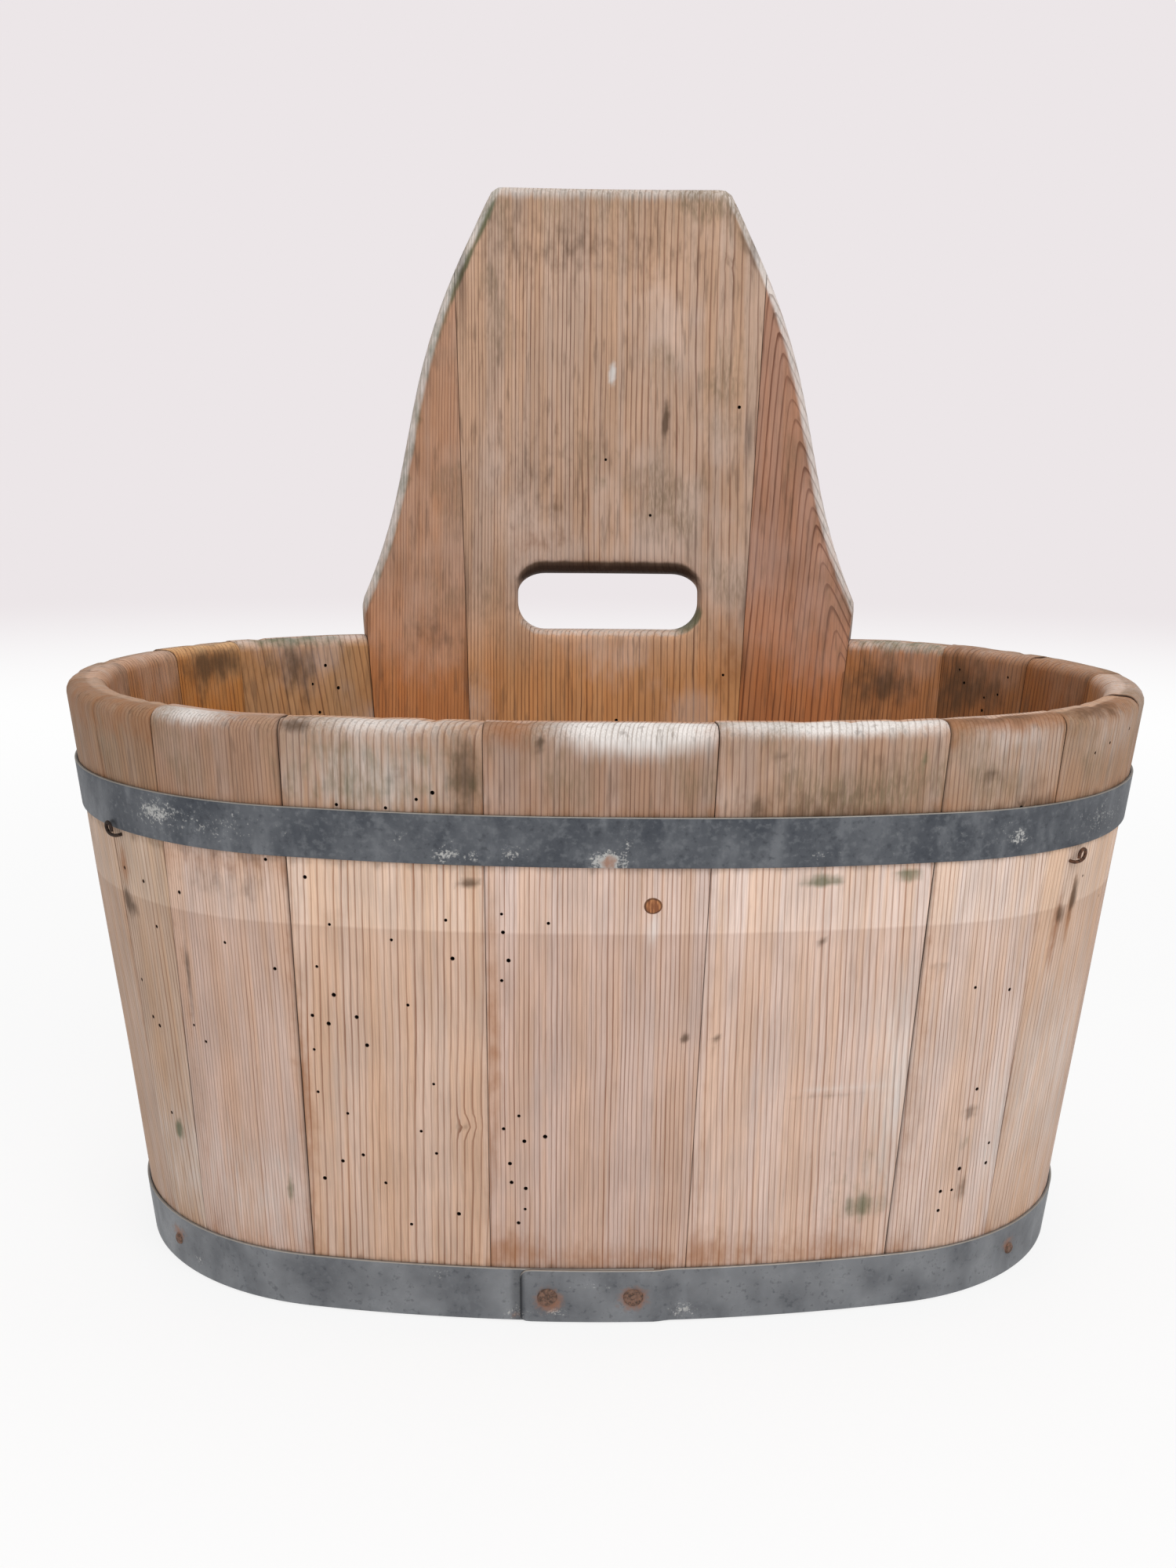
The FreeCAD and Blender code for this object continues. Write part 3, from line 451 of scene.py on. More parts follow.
# Stains and wear, each at a share of the way across a stave, anticlockwise, and a height
Mark = namedtuple("Mark", "side stave across height reach_across reach_up strength")
MARKS = {
    # Whitened by sun along the rim, round the plug and where a splinter broke out
    "bleach": [
        Mark("out", "stave_front_middle", 0.66, 269, 33, 12, 1.5),
        Mark("out", "stave_front_right_inner", 0.52, 269, 52, 6, 1.4),
        Mark("out", "stave_front_left_inner", 0.5, 268, 40, 5, 0.5),
        Mark("out", "stave_front_left_inner", 0.45, 246, 44, 24, 0.5),
        Mark("out", "stave_front_left_outer", 0.3, 267, 24, 5, 0.8),
        Mark("out", "stave_front_right_outer", 0.5, 262, 30, 6, 0.3),
        Mark("out", "stave_front_middle", 0.74, 184, 3, 8, 0.6),
        Mark("out", "stave_front_right_inner", 0.9, 110, 13, 65, 0.55),
        Mark("out", "stave_front_right_outer", 0.95, 80, 24, 50, 0.42),
        Mark("out", "stave_front_right_corner", 0.5, 100, 50, 70, 0.45),
        Mark("out", "stave_front_left_corner", 0.5, 60, 50, 45, 0.42),
        Mark("out", "stave_front_left_outer", 0.5, 55, 60, 40, 0.36),
        Mark("out", "stave_front_right_inner", 0.57, 109.8, 20, 2.2, 0.4),
        Mark("in", "tall_stave_middle", 0.48, 409, 1.4, 6, 1.5),
        Mark("out", "stave_front_right_corner", 0.6, 256, 50, 16, 0.34),
        Mark("out", "stave_right_end_front", 0.5, 262, 80, 12, 0.4),
        Mark("in", "stave_right_end_front", 0.5, 268, 80, 6, 0.4),
        Mark("in", "stave_right_end_back", 0.5, 268, 60, 5, 0.2),
        Mark("in", "stave_back_right_inner", 0.5, 267, 60, 5, 0.5),
        Mark("in", "stave_back_right_outer", 0.5, 268, 60, 4, 0.24),
        Mark("out", "stave_front_right_outer", 0.6, 250, 40, 14, 0.3),
    ],
    # Dark from damp; the same channel also carries painted shade below the hoops and over the hand slot
    "damp_and_shade": [
        Mark("out", "stave_front_left_inner", 0.91, 247, 7, 17, 0.85),
        Mark("out", "stave_front_left_inner", 0.59, 247, 5, 4, 0.6),
        Mark("out", "stave_front_left_inner", 0.09, 265, 7, 3, 1.0),
        Mark("out", "stave_front_left_inner", 0.92, 203, 5, 2, 1.1),
        Mark("out", "stave_front_middle", 0.24, 261, 2, 3.4, 1.1),
        Mark("out", "stave_front_middle", 0.9, 136, 2.4, 2, 1.1),
        Mark("out", "stave_front_right_inner", 0.04, 134, 2.6, 2, 1.1),
        Mark("out", "stave_front_right_inner", 0.26, 255, 2.4, 2.4, 0.7),
        Mark("out", "stave_front_right_inner", 0.17, 236, 2, 6, 0.7),
        Mark("out", "stave_front_right_inner", 0.45, 236, 36, 8, 0.4),
        Mark("out", "stave_front_right_inner", 0.75, 250, 18, 9, 0.35),
        Mark("out", "stave_front_right_outer", 0.3, 245, 9, 4, 0.65),
        Mark("out", "stave_front_right_outer", 0.75, 235, 14, 8, 0.4),
        Mark("out", "stave_front_right_outer", 0.55, 55, 2.4, 8, 1.2),
        Mark("out", "stave_front_right_outer", 0.54, 92, 6, 2.6, 0.9),
        Mark("out", "stave_front_right_corner", 0.4, 266, 34, 4, 0.62),
        Mark("out", "stave_front_right_outer", 0.5, 268, 40, 3.5, 0.55),
        Mark("out", "stave_front_left_outer", 0.06, 150, 1.6, 22, 0.75),
        Mark("out", "stave_front_left_inner", 0.86, 94, 2.2, 3, 0.8),
        Mark("out", "stave_front_right_corner", 0.38, 184, 2.4, 9, 1.3),
        Mark("out", "stave_front_right_corner", 0.25, 178, 2.2, 6, 1.2),
        Mark("out", "stave_front_left_corner", 0.1, 178, 2.6, 8, 1.2),
        Mark("out", "stave_front_left_corner", 0.25, 176, 2.2, 5, 1.0),
        Mark("in", "stave_back_left_inner", 0.55, 254, 30, 11, 0.5),
        Mark("in", "stave_back_left_outer", 0.4, 258, 26, 10, 0.9),
        Mark("in", "stave_back_right_inner", 0.5, 246, 24, 12, 0.6),
        Mark("in", "stave_back_right_outer", 0.5, 248, 24, 14, 0.7),
        Mark("in", "tall_stave_left", 0.3, 270, 22, 18, 0.4),
        Mark("in", "tall_stave_middle", 0.6, 476, 80, 24, 0.4),
        Mark("in", "tall_stave_middle", 0.75, 350, 34, 50, 0.3),
        Mark("in", "tall_stave_middle", 0.08, 469, 1.8, 2.4, 1.2),
        Mark("in", "tall_stave_middle", 0.29, 383, 1.8, 12, 1.2),
        Mark("out", "stave_front_left_outer", 0.5, 197, 40, 8, 0.36),
        Mark("out", "stave_front_right_inner", 0.57, 106.6, 22, 2.2, 0.4),
        Mark("out", "stave_front_right_inner", 0.49, 176, 2.3, 2.4, 0.9),
        Mark("out", "stave_front_right_outer", 0.06, 163, 2.3, 2.6, 0.8),
    ],
    # Green with algae
    "algae": [
        Mark("in", "tall_stave_middle", 0.55, 357, 30, 22, 0.3),
        Mark("in", "stave_back_right_inner", 0.4, 268, 40, 6, 0.7),
        Mark("in", "stave_back_left_inner", 0.5, 268, 40, 5, 0.8),
        Mark("out", "stave_front_left_inner", 0.5, 245, 60, 22, 0.42),
        Mark("out", "stave_front_right_inner", 0.48, 203.5, 10, 2.0, 1.4),
        Mark("out", "stave_front_right_inner", 0.87, 204, 7, 2.0, 1.4),
        Mark("out", "stave_front_right_inner", 0.8, 52, 12, 7, 0.52),
        Mark("out", "stave_front_right_inner", 0.74, 66, 22, 22, 0.3),
        Mark("out", "stave_front_right_inner", 0.88, 252, 2, 5, 0.9),
        Mark("out", "stave_front_right_outer", 0.43, 79, 15, 12, 0.32),
        Mark("out", "stave_front_left_corner", 0.5, 73, 4, 5, 1.1),
        Mark("out", "stave_front_left_outer", 0.87, 57, 2.6, 7, 0.9),
    ],
    # Filmed with grime above the upper hoop and at the top of the back board
    "grime": [
        Mark("out", "stave_front_right_inner", 0.65, 238, 50, 16, 0.8),
        Mark("out", "stave_front_right_outer", 0.4, 240, 30, 14, 0.6),
        Mark("out", "stave_front_right_corner", 0.5, 240, 40, 12, 0.4),
        Mark("in", "tall_stave_middle", 0.5, 505, 100, 30, 0.55),
    ],
    # Stained by rust, or by resin that reddens beside the joints
    "rust": [
        Mark("out", "stave_front_right_corner", 0.22, 172, 3, 18, 1.1),
        Mark("out", "stave_front_right_corner", 0.36, 178, 2.6, 14, 1.2),
        Mark("out", "stave_front_left_corner", 0.14, 195, 4, 12, 0.9),
        Mark("out", "stave_front_right_inner", 0.05, 36, 50, 10, 0.5),
        Mark("out", "stave_front_right_inner", 0.66, 35, 14, 15, 0.4),
        Mark("out", "stave_front_middle", 0.11, 37, 12, 8, 0.6),
        Mark("out", "stave_front_middle", 0.6, 34, 40, 8, 0.4),
        Mark("out", "stave_front_middle", 0.04, 130, 3, 60, 0.55),
        Mark("out", "stave_front_left_inner", 0.02, 100, 4, 50, 0.6),
        Mark("out", "stave_front_left_inner", 0.25, 185, 10, 8, 0.35),
        Mark("out", "stave_front_middle", 0.12, 266, 10, 8, 0.9),
        Mark("out", "stave_front_right_outer", 0.5, 271, 40, 9, 1.3),
        Mark("out", "stave_front_left_corner", 0.5, 264, 34, 14, 0.6),
        Mark("out", "stave_front_right_corner", 0.5, 272, 40, 10, 1.0),
        Mark("out", "stave_left_end_front", 0.5, 264, 44, 14, 0.55),
        Mark("out", "stave_front_left_outer", 0.5, 206, 60, 7, 0.5),
        Mark("in", "tall_stave_middle", 0.05, 252, 9, 28, 0.6),
        Mark("in", "tall_stave_middle", 0.75, 318, 18, 14, 0.45),
    ],
}
WORM_HOLE_RADIUS = 0.9
WORM_HOLE_LIP = 0.1  # share of the depth and width at which a hole is already painted dark, with painted shade
WORM_HOLE_DEPTH = 3.0
WORM_HOLE_SIDES = 8  # two in each of the four cells that a hole opens
WORM_HOLE_SIZES = (0.75, 1.15)  # shares of the radius between which holes differ
WORM_HOLE_SHIFT = 0.6  # how far a hole lies from a crossing of rows and columns
WORM_MARGIN = 5  # columns beside each joint that stay free of holes
# Woodworm: how many holes are scattered between two shares across a stave and between two heights
Worms = namedtuple("Worms", "side stave count across heights")
WORMS = [
    Worms("out", "stave_front_left_inner", 26, (0.05, 0.8), (40, 205)),
    Worms("out", "stave_front_middle", 22, (0.03, 0.32), (34, 205)),
    Worms("out", "stave_front_left_corner", 8, (0.1, 0.9), (60, 255)),
    Worms("out", "stave_front_left_outer", 7, (0.1, 0.9), (60, 255)),
    Worms("out", "stave_front_left_inner", 5, (0.1, 0.9), (233, 250)),
    Worms("out", "stave_front_right_outer", 6, (0.2, 0.9), (60, 255)),
    Worms("out", "stave_front_right_corner", 8, (0.2, 0.9), (150, 258)),
    Worms("in", "stave_back_right_outer", 8, (0.2, 0.8), (215, 262)),
    Worms("in", "stave_back_left_inner", 4, (0.2, 0.8), (215, 262)),
    Worms("in", "tall_stave_middle", 7, (0.05, 0.95), (215, 420)),
    Worms("out", "stave_front_right_outer", 6, (0.1, 0.95), (38, 76)),
]
GHOST_TOP = 211.0  # band under the upper hoop that another hoop once kept clean
GHOST_FOOT = 181.5
GHOST_FADE = 0.5  # how far its foot fades each way
GHOST_ROW_GAP = 0.6  # rows of points this far above and below keep the foot crisp
EDGE_BAND = 3.6  # how far the weathered sawn edges reach over a face
EDGE_FADE = 2.0
LIP_WIDTH = 1.0  # how far from the slot the band along its lips, weathered below and painted with shade above, starts to fade
EDGE_DIRT = 1.5  # how wide the dirt beside a sawn edge is
EDGE_DIRT_BELOW_TOP = (4.0, 12.0)
TOP_BAND = (2.0, 10.0)
THROAT_DIRT_AND_SHADE = 2.6  # how far the dirt and painted shade of the slot's throat reach over its lips
HOOP_DAMP_ABOVE = 1.6  # how far damp and rust reach beside a hoop; below it the damp is also painted shadow
HOOP_RUST_ABOVE = 6.0
HOOP_DAMP_AND_SHADOW_BELOW = 4.0
GRIMY = 0.5  # the wood counts as aged beyond 1 by this much under a full film of grime
BACK_TINT_OUTSIDE = 0.35  # the back staves differ less outside than inside
JOINT_REDDENED = 2.6  # how far beside a joint the wood is reddened
JOINT_LINE = 0.45  # how wide the dark line of a joint of the back board is
TURN_SLIVER = 1e-6  # keeps a stave's sides apart from the place where the turn starts again
WEAR_LIMIT = 1.5  # wear beyond 1 hides more of the ragged edges
BLOTCH_WIDTH = 24.0
BLOTCH_HEIGHT = 60.0
# Pairs of heights between which one state of the wood passes into another
AGED_FROM = (219.0, 223.0)
BOARD_AGED_FROM = (235.0, 310.0)
STAINED_UP_TO = (262.0, 272.0)
BOARD_STAINED_UP_TO = (240.0, 312.0)
BOARD_GREEN_FROM = (420.0, 460.0)


def board_edge_gaps(places):
    """How far points of the back board lie inside its sawn sides and below its top."""
    across = np.abs(places[:, 0] - BOARD_MIDDLE)
    half_width = np.interp(places[:, 2], BOARD_OUTLINE[::-1, 1], BOARD_OUTLINE[::-1, 0])
    return half_width - across, BOARD_TOP - places[:, 2]


def slot_gap(places):
    """How far points lie outside the hand slot's outline."""
    across = np.abs(places[:, 0] - BOARD_MIDDLE) - SLOT_WIDTH / 2 + SLOT_CORNER_RADIUS
    up = np.abs(places[:, 2] - SLOT_MIDDLE_HEIGHT) - SLOT_HEIGHT / 2 + SLOT_CORNER_RADIUS
    outside = np.hypot(np.maximum(across, 0), np.maximum(up, 0))
    return outside + np.minimum(np.maximum(across, up), 0) - SLOT_CORNER_RADIUS


def weather_board(wear, name, places):
    """Grey sawn edges, green on the left, hand slot lips that are pale below and dark above with damp and
    painted shade, and a throat darkened with dirt and painted shade.
    """
    side_gap, top_gap = board_edge_gaps(places)
    left = places[:, 0] < BOARD_MIDDLE
    on_edge = 1 - smooth_step(side_gap, EDGE_BAND, EDGE_BAND + EDGE_FADE)
    beside = np.exp(-((side_gap - EDGE_BAND - EDGE_DIRT) / EDGE_DIRT) ** 2)
    beside *= smooth_step(top_gap, *EDGE_DIRT_BELOW_TOP)
    wear["bleach"] += np.maximum(0.75 * on_edge, 0.65 * (1 - smooth_step(top_gap, *TOP_BAND)))
    wear["damp_and_shade"] += np.where(left, 0.25, 0.4) * beside
    wear["algae"] += np.where(left, 0.25 + 0.6 * smooth_step(places[:, 2], *BOARD_GREEN_FROM), 0) * beside
    wear["algae"] += np.where(left, 0.42, 0.1) * on_edge
    if name != "tall_stave_middle":
        return
    lip = 1 - smooth_step(slot_gap(places), LIP_WIDTH, EDGE_BAND)
    up = (places[:, 2] - SLOT_MIDDLE_HEIGHT) / (SLOT_HEIGHT / 2)
    right = smooth_step(places[:, 0] - BOARD_MIDDLE, SLOT_WIDTH / 4, SLOT_WIDTH / 2)
    wear["bleach"] += 0.5 * lip * smooth_step(-up, 0.3, 0.8)
    wear["algae"] += lip * smooth_step(-up, 0.0, 0.5) * right
    # The upper lip, facing down, is darkened: damp and painted shade
    wear["damp_and_shade"] += 0.8 * lip * smooth_step(up, 0.3, 0.8)
    # The slot's throat is darkened, most towards its top: dirt and painted shade
    throat = 1 - smooth_step(slot_gap(places), 0.0, THROAT_DIRT_AND_SHADE)
    wear["dirt_and_shade"] += throat * smooth_step(up, -0.6, 0.6) * (0.45 + 0.35 * smooth_step(up, 0.4, 0.8))


def wood_skin(name, angle, depth, height):
    """Eight kinds of wear from 0 to 1 at each point of a stave, as two arrays of four; the damp and the
    dirt also carry painted shade.
    """
    start, end = STAVE_SPANS[name]
    outside = depth < WALL / 2
    way = way_round(angle)
    span = way_round(np.array(end) - TURN_SLIVER) - way_round(np.array(start) + TURN_SLIVER)
    share = (angle - start) / (end - start)
    from_joint = np.minimum(share, 1 - share) * span
    wear = {kind: np.zeros(len(angle)) for kind in (*MARKS, "dirt_and_shade")}
    own_marks = [(kind, mark) for kind, marks in MARKS.items() for mark in marks if mark.stave == name]
    for kind, mark in own_marks:
        side = outside if mark.side == "out" else ~outside
        across = (share - mark.across) * span
        spot = np.exp(-(across / mark.reach_across) ** 2 - ((height - mark.height) / mark.reach_up) ** 2)
        wear[kind] += np.where(side, mark.strength * spot, 0)
    tall = name in TALL_STAVES
    seed = stave_noise(name)
    wear["rust"] += np.where(outside, 0.3, 0.15) * np.exp(-(from_joint / JOINT_REDDENED) ** 2)
    blotches = smooth_step(soft_noise(way, height, BLOTCH_WIDTH, BLOTCH_HEIGHT, seed + 9), 0.45, 0.9)
    blotches *= 1 - smooth_step(height, RIM_HEIGHT, RIM_HEIGHT + BLOTCH_HEIGHT)
    wear["damp_and_shade"] += np.where(outside, 0.0, (0.2 if tall else 0.4) * blotches)
    for hoop in ("lower_hoop", "upper_hoop"):
        low, high = (corner.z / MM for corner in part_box(hoop))
        wear["damp_and_shade"] += np.where(outside, 0.7 * np.exp(-((height - high) / HOOP_DAMP_ABOVE) ** 2), 0)
        wear["rust"] += np.where(outside, 0.35 * np.exp(-((height - high) / HOOP_RUST_ABOVE) ** 2), 0)
        # Below each hoop: damp and a painted shadow
        wear["damp_and_shade"] += np.where(outside, 0.42 * np.exp(-((height - low) / HOOP_DAMP_AND_SHADOW_BELOW) ** 2), 0)
    if tall:
        weather_board(wear, name, wall(angle, depth, height))
        wear["dirt_and_shade"] += np.where(outside, 0.0, 0.55 * np.exp(-(from_joint / JOINT_LINE) ** 2))
        aged = np.where(outside, 1.0, smooth_step(height, *BOARD_AGED_FROM))
        stained = np.where(outside, 0.0, 1 - smooth_step(height, *BOARD_STAINED_UP_TO))
        ghost = np.zeros(len(angle))
    else:
        aged = np.where(outside, smooth_step(height, *AGED_FROM), 0.0)
        stained = np.where(outside, 0.0, 1 - smooth_step(height, *STAINED_UP_TO))
        ghost = smooth_step(height, GHOST_FOOT - GHOST_FADE, GHOST_FOOT + GHOST_FADE)
        ghost *= 1 - smooth_step(height, GHOST_TOP, GHOST_TOP + 4 * GHOST_FADE)
        ghost = np.where(outside, ghost, 0.0)
    aged = aged + GRIMY * np.clip(wear["grime"], 0, 1) * aged
    skin = np.stack([aged, stained, wear["bleach"], ghost], -1)
    growth = np.stack([wear["damp_and_shade"], wear["algae"], wear["rust"], wear["dirt_and_shade"]], -1)
    return np.clip(skin, 0, WEAR_LIMIT), np.clip(growth, 0, WEAR_LIMIT)


# Building a stave


def stave_columns(start, end):
    """Normal directions across a stave, and how far its section is drawn in at each, to ease the joints."""
    middle = np.array((start + end) / 2)
    arm = float(wall_radius(middle, RIM_HEIGHT))
    width = (end - start) * arm
    ease = np.linspace(0, math.pi / 2, JOINT_STEPS + 1)
    near = JOINT_GAP / 2 + JOINT_ARRIS * (1 - np.cos(ease))
    inset = JOINT_ARRIS * (1 - np.sin(ease))
    count = max(4, round((width - 2 * near[-1]) / CELL))
    body = np.linspace(near[-1], width - near[-1], count + 1)
    lengths = np.concatenate([near[:-1], body, (width - near[:-1])[::-1]])
    insets = np.concatenate([inset[:-1], np.zeros(count + 1), inset[:-1][::-1]])
    return start + lengths / arm, insets


def stave_rows(name):
    """Heights shared by both faces of a stave, and how many rows follow above them."""
    even_top = RIM_HEIGHT - EVEN_ROWS_BELOW_RIM
    rows_above = ROWS_TO_RIM
    if name in TALL_STAVES:
        even_top = RIM_HEIGHT - EVEN_ROWS_BELOW_RIM / 2
        rows_above = ROWS_TO_TOP
    if name == "tall_stave_middle":
        even_top = SLOT_MIDDLE_HEIGHT + SLOT_HEIGHT / 2 + 2 * SLOT_MARGIN
        rows_above = ROWS_OVER_SLOT
    even = np.arange(CROZE_TOP, even_top, CELL)
    even = even[np.abs(even - GHOST_FOOT) > CELL / 2]
    even = np.sort(np.concatenate([even, [GHOST_FOOT - GHOST_ROW_GAP, GHOST_FOOT + GHOST_ROW_GAP]]))
    return even, rows_above


def stave_section(name, angles):
    """Depth and height of each point round a stave's section, for every column, and the rows' places.

    The loop runs up the outside, over the top, down the inside and back along the foot."""
    tall = name in TALL_STAVES
    top_out = sawn_height(name, angles, 0.0) if tall else np.full(len(angles), RIM_HEIGHT)
    top_in = sawn_height(name, angles, WALL) if tall else top_out
    outer, inner = (SAWN_EDGE_ROUND, SAWN_EDGE_ROUND) if tall else (RIM_OUTER_ROUND, RIM_INNER_ROUND)
    reach = wall(angles, WALL / 2, RIM_HEIGHT)[:, 0]
    slope = np.gradient(top_out, reach) if tall else np.zeros(len(angles))
    steep = np.sqrt(1 + slope**2)
    even, rows_above = stave_rows(name)
    shares = np.arange(1, rows_above + 1) / rows_above
    low = np.linspace(FOOT_ARRIS, CROZE_TOP, ROWS_BESIDE_CROZE + 1)[:-1]
    ones = np.ones(len(angles))
    turns = np.linspace(0, math.pi / 2, ROUND_STEPS + 1)[1:]
    points = []

    def add(depth, height):
        points.append((depth * ones, height * ones))

    def top_at(depth):
        return top_out + (top_in - top_out) * depth / WALL

    add(FOOT_ARRIS, 0)
    add(FOOT_ARRIS * 0.3, FOOT_ARRIS * 0.3)
    for height in low:
        add(0, height)
    outside_start = len(points)
    for height in even:
        add(0, height)
    for share in shares:
        add(0, even[-1] + share * (top_out - outer * steep - even[-1]))
    outside_end = len(points)
    for turn in turns:
        depth = outer * (1 - math.cos(turn))
        add(depth, top_at(depth) - outer * steep * (1 - math.sin(turn)))
    for share in TOP_STOPS:
        depth = outer + share * (WALL - inner - outer)
        add(depth, top_at(depth))
    for turn in turns[::-1]:
        depth = WALL - inner * (1 - math.cos(turn))
        add(depth, top_at(depth) - inner * steep * (1 - math.sin(turn)))
    inside_start = len(points)
    for share in shares[::-1]:
        add(WALL, even[-1] + share * (top_in - inner * steep - even[-1]))
    for height in even[::-1]:
        add(WALL, height)
    inside_end = len(points)
    add(WALL - CROZE_DEPTH, CROZE_TOP)
    add(WALL - CROZE_DEPTH, CROZE_HEIGHT)
    add(WALL, CROZE_HEIGHT)
    add(WALL, FOOT_BEVEL)
    add(WALL - FOOT_BEVEL, 0)
    add(WALL / 2, 0)
    depth, height = np.transpose(points, (1, 0, 2))
    return depth, height, (outside_start, outside_end), (inside_start, inside_end)


def draw_in(depth, height, insets):
    """Move each section inwards by its column's inset, square to its own line."""
    ahead_depth = np.roll(depth, -1, 0) - np.roll(depth, 1, 0)
    ahead_height = np.roll(height, -1, 0) - np.roll(height, 1, 0)
    length = np.hypot(ahead_depth, ahead_height)
    return depth + insets * ahead_height / length, height - insets * ahead_depth / length


class StaveMesh:
    """Points of a stave as normal direction, depth and height, and its faces."""

    def __init__(self, angle, depth, height):
        self.rows, self.columns = depth.shape
        self.points = [np.stack([angle + 0 * depth, depth, height], -1).reshape(-1, 3)]
        self.count = self.rows * self.columns
        self.faces = []
        self.open = np.zeros((self.rows, self.columns - 1), bool)
        self.holes = []

    def at(self, row, column):
        """Number of the point at a row and a column."""
        return (row % self.rows) * self.columns + column

    def add_points(self, points):
        """Add points beside those of the rows and columns, and return their numbers."""
        first = self.count
        self.points.append(points)
        self.count += len(points)
        return np.arange(first, self.count)

    def place(self, row, column):
        """Normal direction, depth and height at a row and a column."""
        return self.points[0][self.at(row, column)]

    def close_cells(self):
        """Faces of every cell that nothing was cut from, and of the two joint sides."""
        row, column = np.nonzero(~self.open)
        above = (row + 1) % self.rows
        low = row * self.columns + column
        high = above * self.columns + column
        self.faces += np.stack([low, low + 1, high + 1, high], -1).tolist()
        side = np.arange(self.rows) * self.columns
        self.faces.append(side.tolist())
        self.faces.append((side + self.columns - 1)[::-1].tolist())

    def bore(self, row, column, radius, into, shift):
        """Woodworm hole at a crossing of rows and columns, of a radius across and up."""
        cells = self.open[row - 1:row + 1, column - 1:column + 1]
        if cells.any():
            return
        cells[:] = True
        angle, depth, height = self.place(row, column)
        upward = np.sign(self.place(row + 1, column)[2] - height)
        arm = float(wall_radius(np.array(angle), height))
        turns = np.arange(WORM_HOLE_SIDES) * 2 * math.pi / WORM_HOLE_SIDES
        across = (radius * np.cos(turns) + shift[0]) / arm
        up = upward * radius * np.sin(turns) + shift[1]
        ring = np.stack([angle + across, np.full(WORM_HOLE_SIDES, depth), height + up], -1)
        rim = self.add_points(ring)
        mouth = self.add_points(ring + WORM_HOLE_LIP * ((angle, depth + into, height) - ring))
        floor = self.add_points(ring + (0.0, into, 0.0))
        self.holes += mouth.tolist() + floor.tolist()
        right, left = self.at(row, column + 1), self.at(row, column - 1)
        above, below = self.at(row + 1, column), self.at(row - 1, column)
        corners = [
            (right, self.at(row + 1, column + 1), above),
            (above, self.at(row + 1, column - 1), left),
            (left, self.at(row - 1, column - 1), below),
            (below, self.at(row - 1, column + 1), right),
        ]
        for quarter, corner in enumerate(corners):
            back = [rim[(2 * quarter + step) % WORM_HOLE_SIDES] for step in (2, 1, 0)]
            self.faces.append([int(point) for point in (*corner, *back)])
        for near, far in ((rim, mouth), (mouth, floor)):
            cells = np.stack([near, np.roll(near, -1), np.roll(far, -1), far], -1)
            self.faces += cells.tolist()
        self.faces.append(floor.tolist())


def stave_noise(name):
    """Seed of its own for each stave."""
    return sum(ord(letter) * place for place, letter in enumerate(name, 1))


def bore_worm_holes(mesh, name, outside, inside):
    """Scatter woodworm holes over a stave's faces."""
    draw = np.random.default_rng(stave_noise(name))
    for worms in WORMS:
        if worms.stave != name:
            continue
        first, last = outside if worms.side == "out" else inside
        into = WORM_HOLE_DEPTH if worms.side == "out" else -WORM_HOLE_DEPTH
        column_heights = mesh.points[0].reshape(mesh.rows, mesh.columns, 3)
        for _ in range(worms.count):
            column = round(draw.uniform(*worms.across) * (mesh.columns - 1))
            column = min(max(column, WORM_MARGIN), mesh.columns - 1 - WORM_MARGIN)
            rows = column_heights[first + 2:last - 2, column, 2]
            row = first + 2 + int(np.abs(rows - draw.uniform(*worms.heights)).argmin())
            shift = draw.uniform(-WORM_HOLE_SHIFT, WORM_HOLE_SHIFT, 2)
            mesh.bore(row, column, WORM_HOLE_RADIUS * draw.uniform(*WORM_HOLE_SIZES), into, shift)


def slot_outline(count_across, count_up):
    """Points round the hand slot, and the directions out of it, in step with a block of cells.

    They run from the lower left corner along the foot, up the right and back."""
    half_width = SLOT_WIDTH / 2
    half_height = SLOT_HEIGHT / 2
    signs = ((-1, -1), (1, -1), (1, 1), (-1, 1))
    corners = [(x * half_width, z * half_height, SLOT_CORNER_RADIUS) for x, z in signs]
    path = np.roll(rounded_path(corners, True, SLOT_CORNER_STEPS), -SLOT_CORNER_STEPS // 2, 0)
    closed = np.concatenate([path, path[:1]])
    ways = np.concatenate([[0], np.cumsum(np.hypot(*np.diff(closed, axis=0).T))])
    corner_ways = ways[::SLOT_CORNER_STEPS + 1]
    sides = zip(corner_ways, corner_ways[1:], [count_across, count_up, count_across, count_up])
    stops = np.concatenate([np.linspace(low, high, count, False) for low, high, count in sides])
    around = np.stack([np.interp(stops, ways, closed[:, axis]) for axis in (0, 1)], -1)
    ahead = np.roll(around, -1, 0) - np.roll(around, 1, 0)
    outward = np.stack([ahead[:, 1], -ahead[:, 0]], -1)
    return around, outward / np.hypot(*outward.T)[:, None]


